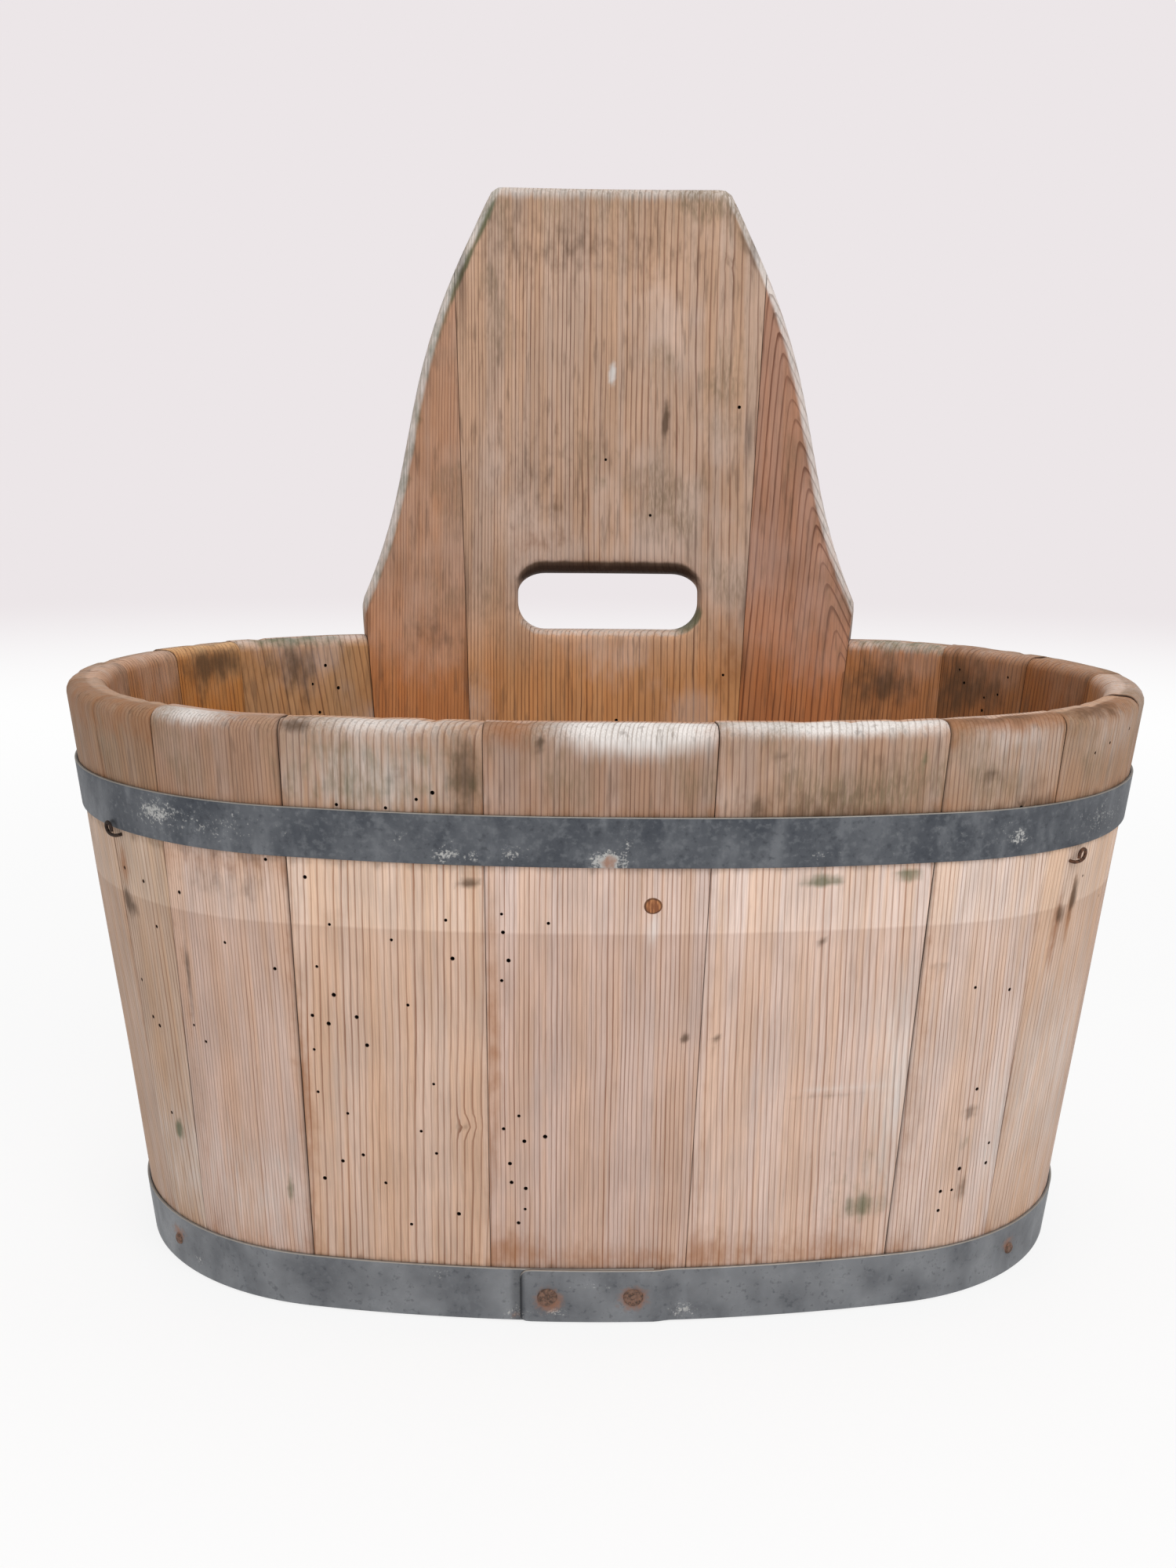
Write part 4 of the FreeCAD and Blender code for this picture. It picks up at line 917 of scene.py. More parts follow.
def cut_hand_slot(mesh, outside, inside):
    """Open the slot through a stave: rings of cells lead from a block of cells to its rounded lips."""
    grid = mesh.points[0].reshape(mesh.rows, mesh.columns, 3)
    heights = grid[outside[0]:outside[1], 0, 2]
    low = outside[0] + int(np.searchsorted(heights, SLOT_MIDDLE_HEIGHT - SLOT_HEIGHT / 2 - SLOT_MARGIN))
    high = outside[0] + int(np.searchsorted(heights, SLOT_MIDDLE_HEIGHT + SLOT_HEIGHT / 2 + SLOT_MARGIN))
    across = wall(grid[low, :, 0], 0.0, grid[low, :, 2])[:, 0] - BOARD_MIDDLE
    # Columns run anticlockwise, which is right to left along the back
    first = int(np.argmin(np.abs(across - SLOT_WIDTH / 2 - SLOT_MARGIN)))
    last = int(np.argmin(np.abs(across + SLOT_WIDTH / 2 + SLOT_MARGIN)))
    mesh.open[low:high, first:last] = True
    inner_low = inside[1] - 1 - (low - outside[0])
    inner_high = inside[1] - 1 - (high - outside[0])
    mesh.open[inner_high:inner_low, first:last] = True

    def block(bottom, top):
        """Points round the block of cells, from its lower left corner, seen from inside the tub."""
        up = 1 if top > bottom else -1
        loop = [(bottom, column) for column in range(last, first, -1)]
        loop += [(row, first) for row in range(bottom, top, up)]
        loop += [(top, column) for column in range(first, last)]
        loop += [(row, last) for row in range(top, bottom, -up)]
        return np.array([mesh.at(row, column) for row, column in loop])

    outer = block(low, high)
    inner = block(inner_low, inner_high)
    around, outward = slot_outline(last - first, high - low)

    def ring(offset, depth):
        """Points at an offset out from the slot's outline and a depth."""
        flat = around + outward * offset
        in_upper_half = np.clip(flat[:, 1] / (SLOT_HEIGHT / 2), 0, 1)
        sag = SLOT_TOP_SAG * math.sin(math.pi * depth / WALL) * in_upper_half
        up = flat[:, 1] - sag + SLOT_MIDDLE_HEIGHT
        arm = wall_radius(np.array(math.pi / 2), up) - depth
        angle = math.pi / 2 - np.arcsin((flat[:, 0] + BOARD_MIDDLE) / arm)
        return np.stack([angle, np.full(len(angle), depth), up], -1)

    def spread(block_points, lip):
        """Rings between a block's edge and a lip."""
        return [block_points + (lip - block_points) * share for share in SLOT_STOPS]

    turns = np.linspace(0, math.pi / 2, ROUND_STEPS + 1)[1:]
    outer_lip = ring(SLOT_LIP_ROUND, 0.0)
    inner_lip = ring(SLOT_LIP_ROUND, WALL)
    loops = spread(mesh.points[0][outer], outer_lip)
    roll = [SLOT_LIP_ROUND * np.array([1 - math.sin(turn), 1 - math.cos(turn)]) for turn in turns]
    loops += [ring(offset, depth) for offset, depth in roll]
    loops += [ring(0.0, WALL / 2)]
    loops += [ring(offset, WALL - depth) for offset, depth in roll[::-1]]
    loops += spread(mesh.points[0][inner], inner_lip)[::-1]
    rings = [outer] + [mesh.add_points(loop) for loop in loops] + [inner]
    for near, far in zip(rings, rings[1:]):
        after_near, after_far = np.roll(near, -1), np.roll(far, -1)
        mesh.faces += np.stack([near, far, after_far, after_near], -1).tolist()


def worn(name, points):
    """Points of a stave's faces moved as its surface wanders and its rim is worn."""
    angle, depth, height = points.T
    way = way_round(angle)
    seed = stave_noise(name)
    outside = depth < WALL / 2
    inward = np.where(outside, 1.0, -1.0)
    faces = smooth_step(np.abs(depth - WALL / 2), TRUE_CORE, WALL / 2)
    faces = faces * smooth_step(height, *FACE_WAVE_FROM)
    wave = soft_noise(way, height, *WAVE_PATCH, seed) - 0.5
    ripple = soft_noise(way, height, *RIPPLE_PATCH, seed + 1) - 0.5
    depth = depth + inward * faces * FACE_WAVE * (2 * wave + 0.5 * ripple)
    top = smooth_step(height, *RIM_WEAR_FROM) * (name not in TALL_STAVES)
    chips = np.maximum(soft_noise(way, depth, *CHIP_PATCH, seed + 2) - CHIP_START, 0) * CHIP_DEPTH
    swell = soft_noise(way, depth, *SWELL_PATCH, seed + 3) - 0.5
    height = height - top * RIM_WEAR * (chips + SWELL_DEPTH * (swell + 0.5))
    return np.stack([angle, depth, height], -1)


def make_stave(name):
    """Stave as its own piece, with its growth rings, wear and painted shade marked at every point."""
    start, end = STAVE_SPANS[name]
    angles, insets = stave_columns(start, end)
    depth, height, outside, inside = stave_section(name, angles)
    depth, height = draw_in(depth, height, insets)
    mesh = StaveMesh(leaned(name, angles, depth, height), depth, height)
    if name == "tall_stave_middle":
        cut_hand_slot(mesh, outside, inside)
    bore_worm_holes(mesh, name, outside, inside)
    mesh.close_cells()
    points = worn(name, np.concatenate(mesh.points))
    angle, depth, height = points.T
    places = wall(angle, depth, height)
    piece = new_piece(name + "_wood", places, mesh.faces)
    middle = (start + end) / 2
    facing = np.array([math.cos(middle), math.sin(middle)])
    along = np.array([-math.sin(middle), math.cos(middle)])
    origin = wall(np.array(middle), 0.0, np.array(0.0))[:2]
    across = (places[:, :2] - origin) @ along
    out = (places[:, :2] - origin) @ facing - FLARE * height / RIM_HEIGHT
    skin, growth = wood_skin(name, angle, depth, height)
    # Worm holes are painted dark inside: painted shade
    growth[mesh.holes, 3] = 1.0
    in_joint = np.broadcast_to(insets / JOINT_ARRIS, (mesh.rows, mesh.columns))
    if name in (TALL_STAVES[0], TALL_STAVES[-1]):
        # Nothing stands beside the back board's outer sides above the rim
        first_half = np.arange(mesh.columns) < mesh.columns / 2
        free = first_half if name == TALL_STAVES[0] else ~first_half
        levels = height[:in_joint.size].reshape(in_joint.shape)
        in_joint = np.where(free & (levels > RIM_HEIGHT - RIM_INNER_ROUND), 0, in_joint)
    in_joint = in_joint.ravel()
    growth[:len(in_joint), 3] = np.maximum(growth[:len(in_joint), 3], JOINT_DIRT * in_joint)
    tint = np.broadcast_to((*stave_log(name).tint, stave_log(name).contrast), (len(angle), 4)).copy()
    if "back" in name:
        tint[depth < WALL / 2, :3] **= BACK_TINT_OUTSIDE
    set_attribute(piece, "tint", "FLOAT_COLOR", "color", tint)
    set_attribute(piece, "ring", "FLOAT", "value", ring_count(stave_log(name), across, out, height))
    set_attribute(piece, "fibre_place", "FLOAT_VECTOR", "vector", np.stack([across, out, height], -1) * MM)
    set_attribute(piece, "skin", "FLOAT_COLOR", "color", skin)
    set_attribute(piece, "growth", "FLOAT_COLOR", "color", growth)
    piece.data.materials.append(stave_wood)
    finish_piece(piece, name)


# Pieces in Blender


def new_piece(name, places, faces):
    """Mesh object from points in millimetres."""
    mesh = bpy.data.meshes.new(name)
    mesh.from_pydata((np.asarray(places) * MM).tolist(), [], faces)
    mesh.update()
    mesh.shade_smooth()
    mesh.set_sharp_from_angle(angle=SHARP_ANGLE)
    piece = bpy.data.objects.new(name, mesh)
    bpy.context.scene.collection.objects.link(piece)
    return piece


def set_attribute(piece, name, kind, field, values):
    """Values at every point of a piece, for its material to read."""
    attribute = piece.data.attributes.new(name, kind, "POINT")
    attribute.data.foreach_set(field, np.asarray(values, np.float32).ravel())


def finish_piece(piece, node):
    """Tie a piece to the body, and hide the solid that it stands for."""
    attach(piece, "root")
    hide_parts(node)


# Hoops


# Rust and white bloom on the front of the hoops, at places across and up; one broad bloom on the upper hoop
# also paints light on its left end
Spot = namedtuple("Spot", "across height reach_across reach_up strength")
SPOTS = {
    ("upper_hoop", "bloom"): [
        Spot(-70, 214.5, 6, 4, 0.8),
        Spot(-59, 214, 5, 3, 0.6),
        Spot(-43, 216, 6, 4, 0.7),
        Spot(-5, 212.5, 7, 5, 1.3),
        Spot(3, 222, 2, 9, 0.6),
        Spot(-88, 221, 3, 3, 0.6),
        Spot(-190, 224, 7, 5, 0.5),
        # Partly real bloom and partly painted light, brightening the hoop's left end
        Spot(-170, 222, 50, 10, 0.42),
        Spot(150, 220, 60, 9, 0.24),
        Spot(212, 218, 18, 12, 0.4),
        Spot(78, 214, 9, 2, 0.5),
        Spot(165, 217, 5, 4, 0.5),
    ],
    ("upper_hoop", "rust"): [
        Spot(-4.5, 212.5, 3.5, 3, 1.1),
    ],
    ("lower_hoop", "bloom"): [
        Spot(-74, 22, 6, 3, 0.6),
        Spot(-41, 5, 7, 4, 0.7),
        Spot(-24, 6, 6, 3, 0.7),
        Spot(31, 6, 8, 4, 0.8),
        Spot(-8, 19, 14, 2, 0.5),
        Spot(-185, 9, 6, 4, 0.5),
    ],
    ("lower_hoop", "rust"): [
        Spot(-27, 12, 6.5, 6, 1.2),
        Spot(9.5, 13, 6.5, 6, 1.2),
        Spot(-41, 4, 3, 3, 0.7),
        Spot(-196, 17.5, 4.5, 4.5, 0.8),
        Spot(183, 17, 4.5, 4.5, 0.8),
    ],
}
LAP_SHADOW_WIDTH = 1.3  # how wide the painted shadow along the lapped end is
EDGE_ROWS = slice(HOOP_FACE_ROWS, HOOP_FACE_ROWS + HOOP_EDGE_STEPS)  # rows of a strip's top edge


def strip_wear(node, grid, ways, around):
    """Rust, bloom, painted shadow at the lapped end and painted highlight on the top edge, from 0 to 1 at
    each point of a hoop.
    """
    places = wall(*np.moveaxis(grid, -1, 0))
    wear = np.zeros((*grid.shape[:2], 4))
    on_front = places[..., 1] < 0
    for channel, kind in enumerate(("rust", "bloom")):
        for spot in SPOTS[node, kind]:
            aside = (places[..., 0] - spot.across) / spot.reach_across
            above = (places[..., 2] - spot.height) / spot.reach_up
            wear[..., channel] += np.where(on_front, spot.strength * np.exp(-aside**2 - above**2), 0)
    # A dark line painted on the lapped end and on the strip just beside it: a painted shadow of the step
    wear[..., 2] = np.exp(-((ways - around + LAP_SHADOW_WIDTH) / LAP_SHADOW_WIDTH) ** 2) + np.exp(-(ways / LAP_SHADOW_WIDTH) ** 2)
    # The top edge's rounding is painted pale all round: a painted highlight
    wear[EDGE_ROWS, :, 3] = 1.0
    return np.clip(wear, 0, WEAR_LIMIT).reshape(-1, 4)


def make_hoop(name, node, material, tilt):
    """Strip bent round the staves, its outer end lapped over its inner one."""
    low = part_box(node)[0].z / MM
    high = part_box(node)[1].z / MM
    middle_height = (low + high) / 2
    lap_angle = np.mean([angle for angle, height in node_places(node + "_rivets")])
    arm = float(wall_radius(lap_angle, middle_height))
    start = lap_angle - LAP_LENGTH / 2 / arm
    # The strip starts at its outer end, runs once round and ends under its own start
    around = way_round(np.array(2 * math.pi - 1e-9))
    ways = np.linspace(0, around + LAP_LENGTH, round((around + LAP_LENGTH) / HOOP_CELL))
    ways = np.sort(np.concatenate([ways, LAP_CORNER_ROUND * np.array(LAP_CORNER_STOPS)]))
    table = np.linspace(0, 4 * math.pi, HOOP_TURNS, False)
    table_ways = np.where(table < 2 * math.pi, 0, around) + way_round(table)
    angles = np.interp(way_round(np.array(start)) + ways, table_ways, table)
    lift = (HOOP_THICKNESS + HOOP_FIT) * (1 - smooth_step(ways, LAP_LENGTH, LAP_LENGTH + LAP_STEP))
    corner = np.clip(1 - ways / LAP_CORNER_ROUND, 0, 1)
    cut = LAP_CORNER_ROUND * (1 - np.sqrt(1 - corner**2))
    round_edge = HOOP_EDGE_ROUND
    turns = np.linspace(0, math.pi / 2, HOOP_EDGE_STEPS + 1)
    points = []
    wave = soft_noise(ways, 0 * ways, HOOP_WAVE_LENGTH, 1, len(name)) - 0.5
    edge_wave = soft_noise(ways, 0 * ways, HOOP_EDGE_WAVE_LENGTH, 1, len(name) + 7) - 0.5
    rise = tilt * wall(angles, 0.0, middle_height)[:, 0] + HOOP_WAVE * edge_wave
    top = high - cut + rise - HOOP_TOP_CLEAR
    foot = low + LAP_FOOT_CUT * cut + rise
    if node == "lower_hoop":
        # It doesn't wander down past the solid, towards the floor
        foot = np.maximum(foot, low)

    def row(out, height):
        """One line of points along the strip."""
        proud = HOOP_FIT + lift + HOOP_WAVE * (wave + 0.5) * 0.6 + out
        points.append(np.stack([angles, -proud + 0 * angles, height], -1))

    # Up the outside, over the top edge, down the inside and round the lower edge
    for share in np.linspace(0, 1, HOOP_FACE_ROWS):
        row(HOOP_THICKNESS, foot + round_edge + share * (top - foot - 2 * round_edge))
    for turn in turns[1:]:
        row(HOOP_THICKNESS - round_edge * (1 - math.cos(turn)), top - round_edge * (1 - math.sin(turn)))
    row(0, top)
    row(0, (top + foot) / 2)
    row(0, foot)
    for turn in turns[:-1]:
        row(HOOP_THICKNESS - round_edge * (1 - math.sin(turn)), foot + round_edge * (1 - math.cos(turn)))
    grid = np.array(points)
    rows, columns = grid.shape[:2]
    index = np.arange(rows * columns).reshape(rows, columns)
    above = np.roll(index, -1, 0)
    cells = np.stack([index[:, :-1], index[:, 1:], above[:, 1:], above[:, :-1]], -1).reshape(-1, 4)
    faces = cells.tolist() + [index[:, 0].tolist(), index[::-1, -1].tolist()]
    angle, depth, height = grid.reshape(-1, 3).T
    piece = new_piece(name, wall(angle, depth, height), faces)
    strip_ways = np.broadcast_to(ways, (rows, columns)).ravel()
    place = np.stack([strip_ways, height, depth], -1) * MM
    set_attribute(piece, "strip_place", "FLOAT_VECTOR", "vector", place)
    set_attribute(piece, "strip_wear", "FLOAT_COLOR", "color", strip_wear(node, grid, ways, around))
    piece.data.materials.append(material)
    finish_piece(piece, node)


# Rivets, nails, wires and the plug


def on_wall(angle, out, height):
    """Place and turn of something set on the wall: its X points anticlockwise, its Y up and its Z out."""
    place = Vector(wall(np.array(angle), -out, np.array(height))) * MM
    outward = Vector((math.cos(angle) * math.cos(LEAN), math.sin(angle) * math.cos(LEAN), -math.sin(LEAN)))
    along = Vector((-math.sin(angle), math.cos(angle), 0))
    turn = Matrix([along, outward.cross(along), outward]).transposed()
    return Matrix.Translation(place) @ turn.to_4x4()


def turned(profile, steps, wobble, seed):
    """Points and faces of a profile of (radius, height) turned round Z, a little out of round."""
    turns = np.arange(steps) * 2 * math.pi / steps
    draw = np.random.default_rng(seed)
    phases = draw.uniform(0, 2 * math.pi, 2)
    shape = 1 + wobble * (np.sin(2 * turns + phases[0]) + 0.6 * np.sin(3 * turns + phases[1]))
    points = []
    for radius, height in profile:
        reach = radius * shape
        points.append(np.stack([reach * np.cos(turns), reach * np.sin(turns), 0 * turns + height], -1))
    index = np.arange(len(profile) * steps).reshape(len(profile), steps)
    after = np.roll(index, -1, 1)
    cells = np.stack([index[:-1], after[:-1], after[1:], index[1:]], -1).reshape(-1, 4)
    faces = cells.tolist() + [index[-1].tolist(), index[0, ::-1].tolist()]
    return np.concatenate(points), faces


def set_on_wall(name, node, material, shapes, outs):
    """One piece of several shapes, each set where its solid is."""
    points = []
    faces = []
    for (angle, height), (shape_points, shape_faces), out in zip(node_places(node), shapes, outs):
        matrix = on_wall(angle, out, height)
        first = sum(len(group) for group in points)
        points.append(np.array([matrix @ Vector(point * MM) for point in shape_points]) / MM)
        faces += [[first + corner for corner in face] for face in shape_faces]
    piece = new_piece(name, np.concatenate(points), faces)
    piece.data.materials.append(material)
    finish_piece(piece, node)
    return piece


def rivet_shape(seed):
    """Hammered rivet head: a worn disc with a raised ring."""
    radius = RIVET_HEAD_RADIUS
    height = RIVET_HEAD_HEIGHT
    profile = [
        (radius, -RIVET_SEAT),
        (radius, 0.25 * height),
        (0.93 * radius, 0.62 * height),
        (0.82 * radius, 0.86 * height),
        (0.68 * radius, 0.92 * height),
        (0.52 * radius, 0.78 * height),
        (0.36 * radius, 0.82 * height),
        (0.18 * radius, 1.0 * height),
        (0.05 * radius, 1.02 * height),
    ]
    return turned(profile, RIVET_STEPS, RIVET_WOBBLE, seed)


def nail_shape(seed):
    """Round nail head, rusted uneven."""
    radius = NAIL_HEAD_RADIUS
    height = NAIL_HEAD_HEIGHT
    profile = [
        (radius, -NAIL_SEAT),
        (radius, 0.3 * height),
        (0.85 * radius, 0.75 * height),
        (0.55 * radius, 0.95 * height),
        (0.2 * radius, height),
    ]
    return turned(profile, NAIL_STEPS, NAIL_WOBBLE, seed)


def plug_shape(seed):
    """Flush end of a turned wooden plug."""
    edge = [(PLUG_RADIUS - inward, out) for inward, out in PLUG_EDGE]
    profile = [(PLUG_RADIUS, -SHANK_ROOT), *edge, (0.4 * PLUG_RADIUS, PLUG_PROUD)]
    return turned(profile, PLUG_STEPS, PLUG_WOBBLE, seed)


def make_stop_nail(name, node, material, side):
    """Headless nail knocked over to one side and curled up into a loop, as a bent wire."""
    (angle, height), = node_places(node)
    curve = bpy.data.curves.new(name, "CURVE")
    curve.dimensions = "3D"
    curve.bevel_depth = WIRE_RADIUS * MM
    curve.bevel_resolution = 5
    curve.use_fill_caps = True
    turns = np.linspace(0, CURL_TURN, CURL_STEPS + 1)
    # The nail leaves the wood below and to one side of the middle of its curl
    foot_up = -0.5 * CURL_RADIUS
    foot_side = -side * 0.5 * WIRE_ARM
    path = [
        (foot_side, foot_up, -SHANK_ROOT),
        (foot_side, foot_up, WIRE_LIFT - WIRE_BEND),
        (foot_side + side * 0.4 * WIRE_BEND, foot_up, WIRE_LIFT - WIRE_BEND_EASE),
        (foot_side + side * WIRE_BEND, foot_up, WIRE_LIFT),
    ]
    for turn in turns:
        reach = side * (0.5 * WIRE_ARM + CURL_RADIUS * math.sin(turn))
        path.append((reach, foot_up + CURL_RADIUS * (1 - math.cos(turn)), WIRE_LIFT + CURL_LIFT * turn))
    spline = curve.splines.new("NURBS")
    spline.points.add(len(path) - 1)
    spline.order_u = 3
    spline.use_endpoint_u = True
    spline.resolution_u = 6
    matrix = on_wall(angle, 0.0, height)
    for point, place in zip(spline.points, path):
        point.co = (*(matrix @ (Vector(place) * MM)), 1.0)
    drawn = bpy.data.objects.new(name + "_line", curve)
    mesh = bpy.data.meshes.new_from_object(drawn)
    bpy.data.objects.remove(drawn)
    mesh.name = name
    mesh.shade_smooth()
    piece = bpy.data.objects.new(name, mesh)
    bpy.context.scene.collection.objects.link(piece)
    piece.data.materials.append(material)
    finish_piece(piece, node)


# Bottom boards


BOTTOM_ARRIS = 1.2
BOTTOM_HEART = 70.0  # how far the boards' log had its heart behind their faces
BOTTOM_RING_WIDTH = 3.2
BOTTOM_DAMP = 0.45
BOTTOM_WELD = 0.01  # points of the solid nearer than this are one
BOTTOM_FLAT = math.radians(1.0)  # faces that turn by less than this are one
BOTTOM_EDGE = math.radians(60.0)  # edges sharper than this are eased
BOTTOM_SHARP = math.radians(40.0)


def make_bottom_board(node):
    """Bottom board with its sharp edges eased, its growth rings running along the tub."""
    mesh = frame["nodes"][node].data.copy()
    mesh.name = node + "_wood"
    mesh.materials.clear()
    solid = bmesh.new()
    solid.from_mesh(mesh)
    bmesh.ops.remove_doubles(solid, verts=solid.verts, dist=BOTTOM_WELD * MM)
    bmesh.ops.dissolve_limit(solid, angle_limit=BOTTOM_FLAT, verts=solid.verts, edges=solid.edges)
    sharp = [edge for edge in solid.edges if edge.is_manifold and edge.calc_face_angle() > BOTTOM_EDGE]
    arris = {"offset": BOTTOM_ARRIS * MM, "segments": 2, "profile": 0.5}
    bmesh.ops.bevel(solid, geom=sharp, affect="EDGES", clamp_overlap=True, **arris)
    solid.to_mesh(mesh)
    solid.free()
    mesh.shade_smooth()
    mesh.set_sharp_from_angle(angle=BOTTOM_SHARP)
    piece = bpy.data.objects.new(node + "_wood", mesh)
    bpy.context.scene.collection.objects.link(piece)
    places = np.array([point.co for point in mesh.vertices]) / MM
    along, across, up = places.T
    flat_log = Log(ring_width=BOTTOM_RING_WIDTH, flat_depth=BOTTOM_HEART, heart=float(across.mean()))
    rings = ring_count(flat_log, across, up, along)
    set_attribute(piece, "ring", "FLOAT", "value", rings)
    set_attribute(piece, "fibre_place", "FLOAT_VECTOR", "vector", np.stack([across, up, along], -1) * MM)
    skin = np.zeros((len(places), 4))
    skin[:, 1] = 1.0
    growth = np.zeros((len(places), 4))
    growth[:, 0] = BOTTOM_DAMP
    set_attribute(piece, "skin", "FLOAT_COLOR", "color", skin)
    set_attribute(piece, "growth", "FLOAT_COLOR", "color", growth)
    set_attribute(piece, "tint", "FLOAT_COLOR", "color", np.ones((len(places), 4)))
    mesh.materials.append(stave_wood)
    finish_piece(piece, node)


# Materials


SMOOTH = {"interpolation_type": "SMOOTHSTEP"}
COLOUR_MIX = {"data_type": "RGBA", "blend_type": "MIX", "clamp_factor": True}
COLOUR_TIMES = {"data_type": "RGBA", "blend_type": "MULTIPLY", "clamp_factor": True}
PLUS = {"operation": "ADD"}
TIMES = {"operation": "MULTIPLY"}
TIMES_PLUS = {"operation": "MULTIPLY_ADD"}
LARGER = {"operation": "MAXIMUM"}


def colour(hex_value):
    """Linear colour of an sRGB hex value."""
    parts = [int(hex_value[place:place + 2], 16) / 255 for place in (1, 3, 5)]
    return [part / 12.92 if part <= 0.04045 else ((part + 0.055) / 1.055) ** 2.4 for part in parts] + [1.0]


def add_node(tree, kind, settings, inputs):
    """Add a node with its settings, fill its inputs, by name or in order, and return its outputs."""
    node = tree.nodes.new(kind)
    for name, value in settings.items():
        setattr(node, name, value)
    for name, value in inputs.items() if isinstance(inputs, dict) else enumerate(inputs):
        if isinstance(value, bpy.types.NodeSocket):
            tree.links.new(value, node.inputs[name])
        else:
            node.inputs[name].default_value = value
    return node.outputs


def new_material(name):
    """Material that is still empty, and its nodes."""
    material = bpy.data.materials.new(name)
    material.use_nodes = True
    material.node_tree.nodes.clear()
    return material, material.node_tree


def lay_patterns(tree, place, patterns):
    """Cloudy values from 0 to 1 for each pattern of a material.

    A pattern has the size of its patches in millimetres, how finely they are broken up, and how far they
    are drawn out each way."""
    laid = {}
    for use, (size, detail, stretch) in patterns.items():
        scale = [1 / (size * MM * part) for part in stretch]
        placed = add_node(tree, "ShaderNodeVectorMath", TIMES, (place, scale))[0]
        inputs = {"Vector": placed, "Scale": 1.0, "Detail": detail}
        laid[use] = add_node(tree, "ShaderNodeTexNoise", {}, inputs)[0]
    return laid


def lay_coats(tree, body, coats):
    """Colour of a body under coats, each with how it mixes and the share that it covers."""
    for settings, share, coat in coats:
        body = add_node(tree, "ShaderNodeMix", settings, {0: share, 6: body, 7: coat})[2]
    return body


# Softwood staves, weathered outdoors, scrubbed and rubbed smooth: pale spring wood between fine dark
# lines of summer wood that stand a little proud, with a dull surface
GRAIN_RELIEF = 0.22
STAVE_PATTERNS = {
    "wander": (90.0, 1.0, (0.35, 0.35, 1)),  # long bends of the rings
    "shiver": (14.0, 1.0, (0.3, 0.3, 1)),  # short bends of the rings
    "faint": (9.0, 2.0, (1, 1, 6)),  # places where the rings are worn faint
    "fibre": (0.5, 2.0, (1, 1, 48)),  # bundles of fibres, because single ones are too fine to show
    "streaks": (2.4, 3.0, (1, 1, 8)),  # soil along the grain
    "grit": (0.9, 3.0, (1, 1, 6)),
    "patch": (5.0, 3.0, (1, 1, 1.8)),  # ragged edges of stains
    "band": (6.5, 2.0, (1, 1, 30)),  # reddish and pale years
    "cloud": (22.0, 4.0, (1, 1, 2.2)),  # uneven tone
    "washed": (34.0, 4.0, (1, 1, 1.6)),  # greyish bloom
    "grimy": (36.0, 4.0, (1, 1, 1.2)),  # grime in broad soft patches
}
# Spring and summer wood, as each way of ageing leaves them
WOODS = {
    "scrubbed": ("#cfb4a3", "#84563d"),
    "rubbed": ("#dfc7b7", "#96664b"),
    "aged": ("#ab8d78", "#643f2d"),
    "stained": ("#ae7a4e", "#552e17"),
    "bleached": ("#e6dfda", "#aa9b91"),
}
REDDISH_YEARS = (1.02, 0.95, 0.87, 1)
PALE_YEARS = (1.02, 1.04, 1.07, 1)
WASHED = "#c6b2a6"
SOIL = "#5b4433"
GRIME = "#7f6c53"
# Dirt in the joints, and painted shade in the worm holes and the slot's throat
DIRT_AND_RECESS_SHADE = "#2a1910"
# What soaks into the wood or grows on it: where it starts to show, where it is full, the share that it
# then covers, and its colour
SOAKED = {
    "rust": (0.1, 1.0, 0.7, "#9a6236"),
    "damp_and_shade": (0.15, 0.9, 0.8, "#4f3a28"),
    # Damp shares this colour with the painted shade below the hoops and over the hand slot
    "algae": (0.2, 0.9, 0.75, "#4c5a3c"),
}


